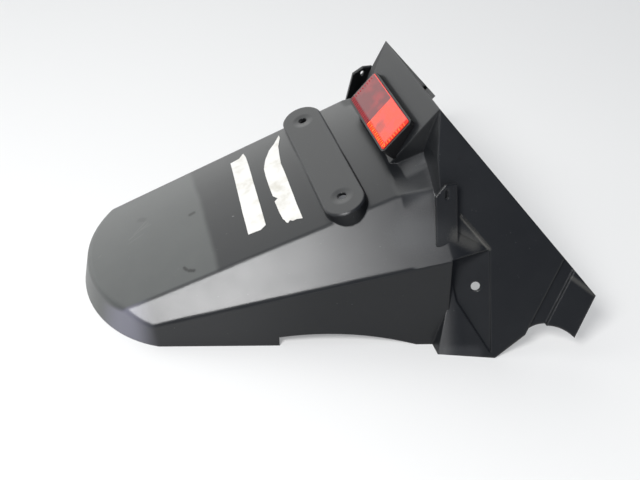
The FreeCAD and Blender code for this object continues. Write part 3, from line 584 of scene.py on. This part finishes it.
        # Tail corners painted lighter and lavender: wear and a painted sheen
        colour = graph.mix(self._corner_sheen_and_wear(graph, axes), colour, self.worn)
        colour = graph.mix(graph.math("MULTIPLY", scratches, self.scratch_tint), colour, self.pale)
        colour = graph.mix(dust, colour, self.pale)
        for mark in self.marks:
            colour = graph.mix(mark.mask(graph, place), colour, self._tint(mark.tone))
        smoothest = self.roughness - self.roughness_spread / 2
        rough = graph.math("MULTIPLY_ADD", tone, self.roughness_spread, smoothest)
        walls = self._side_walls(graph, axes)
        cuts = graph.math("MULTIPLY", scratches, self.scratch_depth)
        height = graph.math("SUBTRACT", grain.outputs["Height"], cuts)
        normal = self.sweep.normal(graph, axes, self.deck, soft_edges(graph, self.edge))
        normal = bump(graph, height, self.relief, self.relief_depth, normal)
        normal = bump(graph, self._dishes(graph, axes), 1.0, self.dish_depth, normal)
        graph.fill(shader, {
            "Base Color": colour,
            "Roughness": graph.math("MULTIPLY_ADD", fade, self.faded_roughness, rough),
            "Specular IOR Level": graph.ramp(walls, 0.0, 1.0, self.specular, self.side_specular),
            "Normal": normal,
        })
        return material

    def _fade(self, graph: Graph, place, axes: TreeNode) -> Socket:
        """Mask of the faded tail, which ends in a wavering line across the deck."""
        waver = graph.noise(place, self.waver_scale)
        line = graph.math("MULTIPLY_ADD", waver, self.fade_waver * MM, axes.outputs["X"])
        edge = spot(self.fade_station, 0.0, 0.0).x
        rear = graph.ramp(line, edge + self.fade_width * MM, edge)
        faces = graph.math("MAXIMUM", self.deck.mask(graph, axes), self._tail_end(graph, axes))
        return graph.math("MULTIPLY", rear, faces)

    def _tint(self, tone: MarkTone) -> Colour:
        """Colour of one kind of mark."""
        tints = {
            MarkTone.DARK: self.dark, MarkTone.SMUDGE: self.dark, MarkTone.PALE: self.pale,
            MarkTone.FAINT: self.pale, MarkTone.PAINTED_HIGHLIGHT: self.highlight_and_wear_grey, MarkTone.SHEEN_AND_WEAR: self.highlight_and_wear_grey,
            MarkTone.DUST_AND_PAINTED_LIGHT: self.dusty,
        }
        return tints[tone]

    def _side_walls(self, graph: Graph, axes: TreeNode) -> Socket:
        """Mask of the upright walls, which grows from the tail to the front."""
        upright = graph.ramp(graph.math("ABSOLUTE", graph.facing().outputs["Z"]), *self.upright_slant)
        return graph.math("MULTIPLY", upright, graph.step(station_of(graph, axes), self.wall_stations))

    def _dishes(self, graph: Graph, axes: TreeNode) -> Socket:
        """Height of the soft dishes round the two plate holes, which lie alike on both sides."""
        folded = graph.join(axes.outputs["X"], off_middle(graph, axes), axes.outputs["Z"])
        away = graph.vector("DISTANCE", folded, tuple(spot(*self.dish_centre)))
        return graph.step(away.outputs["Value"], self.dish_slope)

    def _tail_end(self, graph: Graph, axes: TreeNode) -> Socket:
        """Mask of the tail's end wall between its corners."""
        middle = graph.step(off_middle(graph, axes), self.end_half)
        return graph.math("MULTIPLY", middle, graph.step(station_of(graph, axes), self.end_stations))

    def _corner_sheen_and_wear(self, graph: Graph, axes: TreeNode) -> Socket:
        """Mask of the tail corners below the deck, which are painted lighter: partly wear, partly a painted
        sheen.
        """
        rear = graph.step(station_of(graph, axes), self.corner_stations)
        outer = graph.step(off_middle(graph, axes), self.corner_half)
        low = graph.math("SUBTRACT", 1.0, self.deck.mask(graph, axes))
        return graph.chain("MULTIPLY", rear, outer, low)


@dataclass(frozen=True)
class CasingFinish:
    """Deeper black plastic of the reflector's casing."""

    black: Colour = (0.0025, 0.0025, 0.003)
    worn: Colour = (0.005, 0.005, 0.006)
    dusty: Colour = (0.12, 0.12, 0.12)
    roughness: Span = (0.34, 0.46)
    specular: float = 0.5
    edge: float = 0.8
    relief: float = 0.08
    relief_depth: float = 0.2

    def build(self) -> Material:
        """Makes the material."""
        material, graph, shader = new_material(Slot.CASING.value)
        grain = graph.group(EFFECTS.grain, Scale=2200.0, Waviness=0.4)
        tone, height = grain.outputs["Tone"], grain.outputs["Height"]
        dust = graph.group(EFFECTS.dust, Amount=0.4).outputs["Mask"]
        graph.fill(shader, {
            "Base Color": graph.mix(dust, graph.mix(tone, self.black, self.worn), self.dusty),
            "Roughness": graph.ramp(tone, *TONE_SPREAD, *self.roughness),
            "Specular IOR Level": self.specular,
            "Normal": bump(graph, height, self.relief, self.relief_depth, soft_edges(graph, self.edge)),
        })
        return material


@dataclass(frozen=True)
class LensFace:
    """Place of the lens's outer face: its upper edge's middle, its tilt and where its halves meet."""

    top_station: float = 287.89
    top_height: float = 164.54
    tilt: float = 49.57
    length: float = 90.0
    height: float = 33.3
    division: float = -2.0
    division_blur: float = 0.5

    def top(self) -> Vector:
        """Middle of the upper edge."""
        return spot(self.top_station, 0.0, self.top_height)

    def up(self) -> Vector:
        """Direction from the lower edge to the upper one."""
        return Vector((cos(radians(self.tilt)), 0.0, sin(radians(self.tilt))))

    def turn(self) -> Euler:
        """Turn that lays a flat drawing on the face, its X up the face."""
        return Euler((0.0, -radians(self.tilt), 0.0))

    def drop(self, graph: Graph, place) -> Socket:
        """Distance from the upper edge down the face, in metres."""
        away = graph.vector("SUBTRACT", place, tuple(self.top())).outputs["Vector"]
        rise = graph.vector("DOT_PRODUCT", away, tuple(self.up())).outputs["Value"]
        return graph.math("MULTIPLY", rise, -1.0)

    def lit_half(self, graph: Graph, across) -> Socket:
        """Mask of the half that the light catches, which is painted lit while the other half is painted
        shade.
        """
        return graph.step(across, (self.division + self.division_blur, self.division - self.division_blur))


@dataclass(frozen=True)
class LensFinish:
    """Clear red lens over prisms, with a lit half and a dull half that are painted light and painted shade, a
    painted highlight along the upper edge and a painted glow.
    """

    face: LensFace
    lit: Colour = (0.86, 0.042, 0.010)
    # Dull half: painted shade of the lens's red
    dull: Colour = (0.115, 0.008, 0.012)
    shaded_red: Colour = (0.21, 0.008, 0.012)
    deep: Colour = (0.22, 0.003, 0.002)
    rim: Colour = (0.50, 0.012, 0.003)
    shade: Colour = (0.42, 0.035, 0.030)
    smudged: Colour = (0.11, 0.030, 0.028)
    # Painted highlight: a bright line along the lens's upper edge
    highlight_line: Colour = (0.62, 0.020, 0.012)
    highlight_width: Span = (1.1, 0.6)
    smudge_across: float = -20.5
    smudge_drop: float = 24.7
    smudge_half: float = 12.0
    smudge_core: float = 0.2
    smudge_strength: float = 0.6
    border: float = 4.8
    border_blur: float = 0.3
    border_strength: float = 0.9
    cell: float = 1.5
    cell_edge: Span = (0.02, 0.3)
    cell_randomness: float = 0.15
    cell_shade: float = 0.84
    cloud_scale: float = 95.0
    cloud_spread: Span = (0.46, 0.66)
    cloud_strength: float = 0.6
    patch_scale: float = 60.0
    patch_spread: Span = (0.45, 0.7)
    # Painted glow: the lens gives off light though it is no lamp
    glow: float = 0.14
    roughness: Span = (0.2, 0.5)
    specular: Span = (0.5, 0.12)
    coat: Span = (0.2, 0.0)
    coat_roughness: float = 0.1
    relief: float = 0.05
    relief_depth: float = 0.2

    def build(self) -> Material:
        """Makes the material."""
        material, graph, shader = new_material(Slot.LENS.value)
        place = graph.place()
        across = graph.split(place).outputs["Y"]
        drop = self.face.drop(graph, place)
        rim = self._border(graph, across, drop)
        facet = self._facets(graph, place)
        lit = graph.mix(graph.ramp(facet, 0.0, 1.0, start=self.cell_shade), self.deep, self.lit)
        cloud = graph.noise(place, self.cloud_scale)
        cloud = graph.ramp(cloud, *self.cloud_spread, end=self.cloud_strength)
        lit = graph.mix(cloud, lit, self.shade)
        lit = graph.mix(self._smudge(graph, across, drop), lit, self.smudged)
        lit = graph.mix(graph.math("MULTIPLY", rim, self.border_strength), lit, self.rim)
        patch = graph.ramp(graph.noise(place, self.patch_scale), *self.patch_spread)
        # The dull half is painted shade and the lit half painted light
        dull = graph.mix(patch, self.dull, self.shaded_red)
        colour = graph.mix(self.face.lit_half(graph, across), dull, lit)
        # Painted highlight along the upper edge
        colour = graph.mix(graph.step(drop, self.highlight_width), colour, self.highlight_line)
        dust = graph.group(EFFECTS.dust, Amount=0.5).outputs["Mask"]
        graph.fill(shader, {
            "Base Color": colour,
            # Painted glow in the lens's own colours
            "Emission Color": colour,
            "Emission Strength": self.glow,
            "Roughness": graph.ramp(dust, 0.0, 1.0, *self.roughness),
            "Specular IOR Level": graph.ramp(rim, 0.0, 1.0, *self.specular),
            "Coat Weight": graph.ramp(rim, 0.0, 1.0, *self.coat),
            "Coat Roughness": self.coat_roughness,
            "Normal": bump(graph, facet, self.relief, self.relief_depth),
        })
        return material

    def _facets(self, graph: Graph, place) -> Socket:
        """Pattern of the prisms behind the face."""
        inputs = {"Vector": place, "Scale": 1.0 / (self.cell * MM), "Randomness": self.cell_randomness}
        cells = graph.add("ShaderNodeTexVoronoi", inputs, feature="DISTANCE_TO_EDGE")
        return graph.ramp(cells.outputs["Distance"], *self.cell_edge)

    def _smudge(self, graph: Graph, across, drop) -> Socket:
        """Mask of a soft dark smudge on the lit half."""
        aside = graph.math("SUBTRACT", across, self.smudge_across * MM)
        below = graph.math("SUBTRACT", drop, self.smudge_drop * MM)
        away = graph.vector("LENGTH", graph.join(aside, below, 0.0)).outputs["Value"]
        half = self.smudge_half * MM
        return graph.ramp(away, half, half * self.smudge_core, end=self.smudge_strength)

    def _border(self, graph: Graph, across, drop) -> Socket:
        """Mask of the bright border along the near and lower edges."""
        soft = (self.border * (1 + self.border_blur), self.border * (1 - self.border_blur))
        near = graph.step(graph.math("ADD", across, self.face.length / 2 * MM), soft)
        below = graph.step(graph.math("SUBTRACT", self.face.height * MM, drop), soft)
        return graph.math("MAXIMUM", near, below)


@dataclass(frozen=True)
class RibFinish:
    """Clear red of the lens's ribs, which catch the light: the lit half is painted light, the dull half
    painted shade, and the ribs have a painted glow.
    """

    face: LensFace
    amber: Colour = (0.98, 0.20, 0.018)
    red: Colour = (0.90, 0.07, 0.010)
    # Painted shade of the ribs on the dull half
    dull: Colour = (0.24, 0.012, 0.018)
    red_scale: float = 240.0
    red_spread: Span = (0.35, 0.65)
    # Painted glow: the ribs give off light though they are no lamp
    glow: float = 0.25
    roughness: Span = (0.18, 0.5)
    specular: float = 0.2

    def build(self) -> Material:
        """Makes the material."""
        material, graph, shader = new_material("lens_rib_plastic")
        place = graph.place()
        half = self.face.lit_half(graph, graph.split(place).outputs["Y"])
        reddish = graph.ramp(graph.noise(place, self.red_scale), *self.red_spread)
        lit = graph.mix(reddish, self.amber, self.red)
        # Lit half painted light, dull half painted shade
        colour = graph.mix(half, self.dull, lit)
        dust = graph.group(EFFECTS.dust, Amount=0.5).outputs["Mask"]
        graph.fill(shader, {
            "Base Color": colour,
            "Emission Color": colour,
            "Emission Strength": self.glow,
            "Roughness": graph.ramp(dust, 0.0, 1.0, *self.roughness),
            "Specular IOR Level": self.specular,
        })
        return material


@dataclass(frozen=True)
class SteelFinish:
    """Zinc plated steel with a fine grain."""

    zinc: Colour = (0.52, 0.52, 0.50)
    dull: Colour = (0.36, 0.35, 0.32)
    roughness: Span = (0.25, 0.45)
    relief: float = 0.1
    relief_depth: float = 0.1

    def build(self) -> Material:
        """Makes the material."""
        material, graph, shader = new_material(Slot.STEEL.value)
        grain = graph.group(EFFECTS.grain, Scale=2600.0, Waviness=0.8)
        tone, height = grain.outputs["Tone"], grain.outputs["Height"]
        graph.fill(shader, {
            "Base Color": graph.mix(tone, self.dull, self.zinc),
            "Metallic": 1.0,
            "Roughness": graph.ramp(tone, *TONE_SPREAD, *self.roughness),
            "Normal": bump(graph, height, self.relief, self.relief_depth),
        })
        return material


@dataclass(frozen=True)
class PaperFinish:
    """White crepe paper tape."""

    white: Colour = (0.69, 0.68, 0.65)
    shade: Colour = (0.52, 0.50, 0.44)
    roughness: float = 0.8
    crepe: Point3 = (300.0, 1500.0, 300.0)
    stain_scale: float = 60.0
    stain_spread: Span = (0.45, 0.8)
    relief: float = 0.4
    relief_depth: float = 0.2

    def build(self) -> Material:
        """Makes the material."""
        material, graph, shader = new_material(Slot.TAPE.value)
        place = graph.place()
        crepe = graph.noise(graph.stretched(place, self.crepe), 1.0, detail=3.0, roughness=0.6)
        stain = graph.noise(place, self.stain_scale, detail=3.0, roughness=0.6)
        stain = graph.ramp(stain, *self.stain_spread)
        graph.fill(shader, {
            "Base Color": graph.mix(stain, self.white, self.shade),
            "Roughness": self.roughness,
            "Normal": bump(graph, crepe, self.relief, self.relief_depth),
        })
        return material


@dataclass
class Carried:
    """CAD node that keeps its mesh and gets its finish."""

    node: Node
    material: Material

    def dress(self) -> None:
        """Assigns the finish to the node's slots."""
        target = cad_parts[self.node.value]
        target.data.materials.clear()
        target.data.materials.append(self.material)
        log.info("dressed %s with %s", target.name, self.material.name)


@dataclass
class LensRibs:
    """Row of small ribs round three edges of the lens face, which follows a path by Geometry Nodes.

    The two radii are those of a rib of unit size, from its middle to its corners.
    """

    face: LensFace
    material: Material
    inset: float = 2.5
    pitch: float = 3.05
    rib_width: float = 1.5
    rib_length: float = 4.0
    rib_height: float = 0.45
    top_radius: float = 0.30
    foot_radius: float = 0.7071
    sunk: float = 0.08
    name: str = "lens_ribs"

    def build(self) -> bpy.types.Object:
        """Makes the ribs as one plain mesh.

        Returns:
            The ribs, riding on the body.
        """
        carrier = bpy.data.objects.new(self.name, self._path())
        bpy.context.collection.objects.link(carrier)
        modifier = carrier.modifiers.new("ribs", "NODES")
        modifier.node_group = self._tree()
        sizes = {
            "Pitch": self.pitch, "Width": self.rib_width,
            "Length": self.rib_length, "Height": self.rib_height,
        }
        for item in modifier.node_group.interface.items_tree:
            if item.name in sizes:
                modifier[item.identifier] = sizes[item.name] * MM
        carrier.update_tag()
        graph = bpy.context.evaluated_depsgraph_get()
        mesh = bpy.data.meshes.new_from_object(carrier.evaluated_get(graph))
        carrier.modifiers.remove(modifier)
        carrier.data = mesh
        mesh.name = self.name
        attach(carrier, BODY)
        log.info("set %s with %d faces", self.name, len(mesh.polygons))
        return carrier

    def _path(self) -> bpy.types.Mesh:
        """Open path down one short edge, along the lower edge and up the other one."""
        side = (self.face.length / 2 - self.inset) * MM
        top, foot = -2.0 * self.inset * MM, (self.inset - self.face.height) * MM
        mesh = bpy.data.meshes.new(self.name)
        mesh.from_pydata([(top, -side, 0), (foot, -side, 0), (foot, side, 0), (top, side, 0)],
                         [(0, 1), (1, 2), (2, 3)], [])
        return mesh

    def _tree(self) -> Tree:
        """Tree that puts one rib at each pitch of the path and lays them on the face."""
        tree = bpy.data.node_groups.new("ribs_on_path", "GeometryNodeTree")
        tree.interface.new_socket("Geometry", in_out="INPUT", socket_type="NodeSocketGeometry")
        for label in ("Pitch", "Width", "Length", "Height"):
            tree.interface.new_socket(label, in_out="INPUT", socket_type="NodeSocketFloat")
        tree.interface.new_socket("Geometry", in_out="OUTPUT", socket_type="NodeSocketGeometry")
        graph = Graph(tree)
        ins, outs = graph.add("NodeGroupInput"), graph.add("NodeGroupOutput")
        curve = graph.add("GeometryNodeMeshToCurve", {"Mesh": ins.outputs["Geometry"]})
        points = graph.add("GeometryNodeResampleCurve", {
            "Curve": curve.outputs["Curve"], "Length": ins.outputs["Pitch"],
        }, mode="LENGTH")
        heading = graph.add("FunctionNodeAlignRotationToVector", {
            "Vector": graph.add("GeometryNodeInputTangent").outputs["Tangent"],
        }, axis="X", pivot_axis="Z")
        rows = graph.add("GeometryNodeInstanceOnPoints", {
            "Points": points.outputs["Curve"], "Instance": self._rib(graph, ins),
            "Rotation": heading.outputs["Rotation"],
        })
        laid = graph.add("GeometryNodeTransform", {
            "Geometry": rows.outputs["Instances"], "Translation": tuple(self.face.top()),
            "Rotation": self.face.turn(),
        })
        solid = graph.add("GeometryNodeRealizeInstances", {"Geometry": laid.outputs["Geometry"]})
        dressed = graph.add("GeometryNodeSetMaterial", {
            "Geometry": solid.outputs["Geometry"], "Material": self.material,
        })
        graph.fill(outs, {"Geometry": dressed.outputs["Geometry"]})
        return tree

    def _rib(self, graph: Graph, ins: TreeNode) -> Socket:
        """Bevelled block of the named sizes, a little sunk into the face."""
        cone = graph.add("GeometryNodeMeshCone", {
            "Vertices": 4, "Radius Top": self.top_radius, "Radius Bottom": self.foot_radius, "Depth": 1.0,
        })
        squared = graph.add("GeometryNodeTransform", {
            "Geometry": cone.outputs["Mesh"], "Rotation": Euler((0.0, 0.0, radians(45.0))),
        })
        sized = graph.add("GeometryNodeTransform", {
            "Geometry": squared.outputs["Geometry"], "Translation": (0.0, 0.0, -self.sunk * MM),
            "Scale": graph.join(ins.outputs["Width"], ins.outputs["Length"], ins.outputs["Height"]),
        })
        return sized.outputs["Geometry"]


@dataclass
class TapeStrip:
    """Strip of paper tape that lies on the deck, dropped on it from a height in metres."""

    name: str
    outline: tuple[Point2, ...]
    lift: float = 0.05
    thickness: float = 0.2
    step: float = 1.5
    drop_height: float = 1.0

    def build(self, ground: BVHTree, material: Material) -> bpy.types.Object:
        """Cuts the strip from its outline and lays it on the deck.

        Args:
            ground: Search tree of the moulding's mesh.
            material: Paper finish.

        Returns:
            The strip, riding on the body.
        """
        mesh = bpy.data.meshes.new(self.name)
        shape = bmesh.new()
        corners = [shape.verts.new(spot(station, y, 0.0)) for station, y in self.outline]
        shape.faces.new(corners)
        self._slice(shape)
        grown = bmesh.ops.extrude_face_region(shape, geom=shape.faces[:], use_keep_orig=True)["geom"]
        upper = {item for item in grown if isinstance(item, bmesh.types.BMVert)}
        for vertex in shape.verts:
            above = Vector((vertex.co.x, vertex.co.y, self.drop_height))
            hit, normal, _, _ = ground.ray_cast(above, DOWN)
            height = self.lift + (self.thickness if vertex in upper else 0.0)
            vertex.co = hit + normal * height * MM
        bmesh.ops.recalc_face_normals(shape, faces=shape.faces)
        shape.to_mesh(mesh)
        shape.free()
        piece = bpy.data.objects.new(self.name, mesh)
        bpy.context.collection.objects.link(piece)
        mesh.materials.append(material)
        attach(piece, BODY)
        log.info("laid %s with %d faces", self.name, len(mesh.polygons))
        return piece

    def _slice(self, shape: bmesh.types.BMesh) -> None:
        """Cuts the flat strip across so that it can follow the crown."""
        low = min(vertex.co.y for vertex in shape.verts)
        high = max(vertex.co.y for vertex in shape.verts)
        count = int((high - low) / (self.step * MM))
        for index in range(1, count):
            level = low + (high - low) * index / count
            geometry = shape.verts[:] + shape.edges[:] + shape.faces[:]
            bmesh.ops.bisect_plane(shape, geom=geometry, plane_co=(0, level, 0), plane_no=(0, 1, 0))


@dataclass
class Tape:
    """Both strips of tape on the deck, their outlines as stations and Y in millimetres."""

    material: Material
    strips: tuple[TapeStrip, ...] = field(default_factory=lambda: (
        TapeStrip("tape_strip_rear", (
            (151.0, 55.6), (160.1, 57.6), (165.3, 64.0), (166.1, 55.0), (165.6, 45.4), (163.1, 7.6),
            (161.9, -20.3), (160.9, -51.9), (155.9, -54.7), (144.9, -53.9), (145.6, -26.0), (147.8, 10.7),
        )),
        TapeStrip("tape_strip_front", (
            (202.5, 68.8), (194.3, 55.6), (187.5, 47.4), (180.4, 33.2), (176.1, 20.0), (174.9, 7.4),
            (174.3, -8.1), (174.3, -22.7), (177.5, -28.0), (174.2, -30.2), (174.8, -45.0), (175.8, -53.7),
            (176.9, -56.1), (177.6, -59.0), (178.9, -60.3), (181.0, -58.2), (183.1, -60.3), (186.5, -60.2),
            (191.3, -62.1), (190.7, -44.0), (190.9, -20.2), (191.4, 1.5), (191.6, 16.7), (193.8, 31.7),
            (196.7, 47.7), (202.2, 63.2),
        )),
    ))

    def build(self) -> None:
        """Lays the strips on the moulding."""
        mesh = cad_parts[Node.MUDGUARD.value].data
        ground = BVHTree.FromPolygons([vertex.co for vertex in mesh.vertices],
                                      [tuple(face.vertices) for face in mesh.polygons])
        for strip in self.strips:
            strip.build(ground, self.material)


@dataclass
class Studio:
    """Pale floor, soft light and the camera of the photograph.

    The floor, the light and the camera are placed in metres, and the shaded floor under the body in
    millimetres.
    """

    floor_half: float = 6.0
    floor_tone: Colour = (0.82, 0.82, 0.81)
    floor_roughness: float = 0.6
    floor_glow: Colour = (0.92, 0.92, 0.92)
    floor_share: float = 0.32
    shaded_half: float = 108.0
    shaded_widening: float = 0.2
    shaded_side: Span = (-45.0, 0.0)
    shaded_rear: Span = (-160.0, -200.0)
    shaded_front: Span = (30.0, 120.0)
    key_place: Point3 = (-0.84, -0.72, 1.23)
    key_power: float = 25.0
    key_size: float = 0.5
    world_seen: Colour = (0.95, 0.95, 0.95)
    world_dim: Colour = (0.13, 0.145, 0.185)
    world_bright: Colour = (1.88, 1.90, 1.88)
    bright_way: Point3 = (-0.36, 0.84, 0.40)
    bright_spread: Span = (0.5, 0.85)
    camera_place: Point3 = (-0.17428, -0.58985, 0.51256)
    camera_right: Point3 = (0.959377, -0.279298, 0.039846)
    camera_up: Point3 = (0.14636, 0.613457, 0.776047)
    camera_lens: float = 45.02
    camera_near: float = 0.01

    def build(self) -> None:
        """Sets up floor, world, light and camera."""
        self._floor()
        self._world()
        self._key_light()
        self._camera()
        bpy.context.scene.view_settings.view_transform = "Standard"

    def _floor(self) -> None:
        """Flat pale floor under the object, which glows a little where it is looked at."""
        mesh = bpy.data.meshes.new("floor")
        half = self.floor_half
        corners = [(-half, -half, 0), (half, -half, 0), (half, half, 0), (-half, half, 0)]
        mesh.from_pydata(corners, [], [(0, 1, 2, 3)])
        floor = bpy.data.objects.new("floor", mesh)
        bpy.context.collection.objects.link(floor)
        material, graph, shader = new_material("floor_white")
        graph.fill(shader, {"Base Color": rgba(self.floor_tone), "Roughness": self.floor_roughness})
        path = graph.add("ShaderNodeLightPath")
        rays = [path.outputs[f"Is {kind} Ray"] for kind in ("Camera", "Glossy", "Transmission")]
        open_floor = graph.math("MULTIPLY", self._beside_body(graph), self.floor_share)
        share = graph.math("MULTIPLY", graph.chain("MAXIMUM", *rays), open_floor)
        glow = graph.add("ShaderNodeEmission", {"Color": rgba(self.floor_glow)})
        mixed = graph.add("ShaderNodeMixShader", {
            0: share, 1: shader.outputs["BSDF"], 2: glow.outputs["Emission"],
        })
        output = next(node for node in material.node_tree.nodes if node.type == "OUTPUT_MATERIAL")
        graph.fill(output, {"Surface": mixed.outputs["Shader"]})
        mesh.materials.append(material)

    def _beside_body(self, graph: Graph) -> Socket:
        """Mask of the floor outside the space under the body, where it stays dark."""
        axes = graph.split(graph.place())
        along = axes.outputs["X"]
        half = graph.math("MULTIPLY_ADD", along, self.shaded_widening, self.shaded_half * MM)
        beside = graph.step(graph.math("SUBTRACT", off_middle(graph, axes), half), self.shaded_side)
        behind = graph.step(along, self.shaded_rear)
        ahead = graph.step(along, self.shaded_front)
        return graph.chain("MAXIMUM", beside, behind, ahead)

    def _world(self) -> None:
        """Pale surroundings to the eye, and one bright side among dim ones for the light."""
        world = bpy.data.worlds.new("studio")
        world.use_nodes = True
        world.node_tree.nodes.clear()
        graph = Graph(world.node_tree)
        way = graph.vector("NORMALIZE", graph.add("ShaderNodeTexCoord").outputs["Generated"])
        bright = tuple(Vector(self.bright_way).normalized())
        towards = graph.vector("DOT_PRODUCT", way.outputs["Vector"], bright).outputs["Value"]
        lit = graph.mix(graph.ramp(towards, *self.bright_spread), self.world_dim, self.world_bright)
        around = graph.add("ShaderNodeBackground", {"Color": lit})
        seen = graph.add("ShaderNodeBackground", {"Color": rgba(self.world_seen)})
        mixed = graph.add("ShaderNodeMixShader", {
            0: graph.add("ShaderNodeLightPath").outputs["Is Camera Ray"],
            1: around.outputs["Background"], 2: seen.outputs["Background"],
        })
        graph.add("ShaderNodeOutputWorld", {"Surface": mixed.outputs["Shader"]})
        bpy.context.scene.world = world

    def _key_light(self) -> None:
        """Square area light that faces the object's middle."""
        light = bpy.data.lights.new("key_light", "AREA")
        light.energy = self.key_power
        light.size = self.key_size
        lamp = bpy.data.objects.new("key_light", light)
        lamp.location = self.key_place
        lamp.rotation_euler = (-Vector(self.key_place)).to_track_quat("-Z", "Y").to_euler()
        bpy.context.collection.objects.link(lamp)

    def _camera(self) -> None:
        """Camera at the photograph's place and turn."""
        right, up = Vector(self.camera_right), Vector(self.camera_up)
        back = right.cross(up)
        camera = bpy.data.cameras.new("photo_camera")
        camera.lens = self.camera_lens
        camera.clip_start = self.camera_near
        seat = bpy.data.objects.new("photo_camera", camera)
        turn = Matrix((right, up, back)).transposed()
        seat.matrix_world = Matrix.Translation(self.camera_place) @ turn.to_4x4()
        bpy.context.collection.objects.link(seat)
        bpy.context.scene.camera = seat


def main() -> None:
    """Builds and dresses every piece, then sets up floor, world, light and camera."""
    logging.basicConfig(level=logging.INFO, format="%(name)s: %(message)s")
    steel = SteelFinish().build()
    face = LensFace()
    red = LensFinish(face).build()
    carried = (
        Carried(Node.MUDGUARD, MouldingFinish().build()),
        Carried(Node.CASING, CasingFinish().build()),
        Carried(Node.LENS, red),
        Carried(Node.WASHERS, steel),
        Carried(Node.NUTS, steel),
    )
    for part in carried:
        part.dress()
    LensRibs(face, RibFinish(face).build()).build()
    Tape(PaperFinish().build()).build()
    Studio().build()


if __name__ == "__main__":
    main()
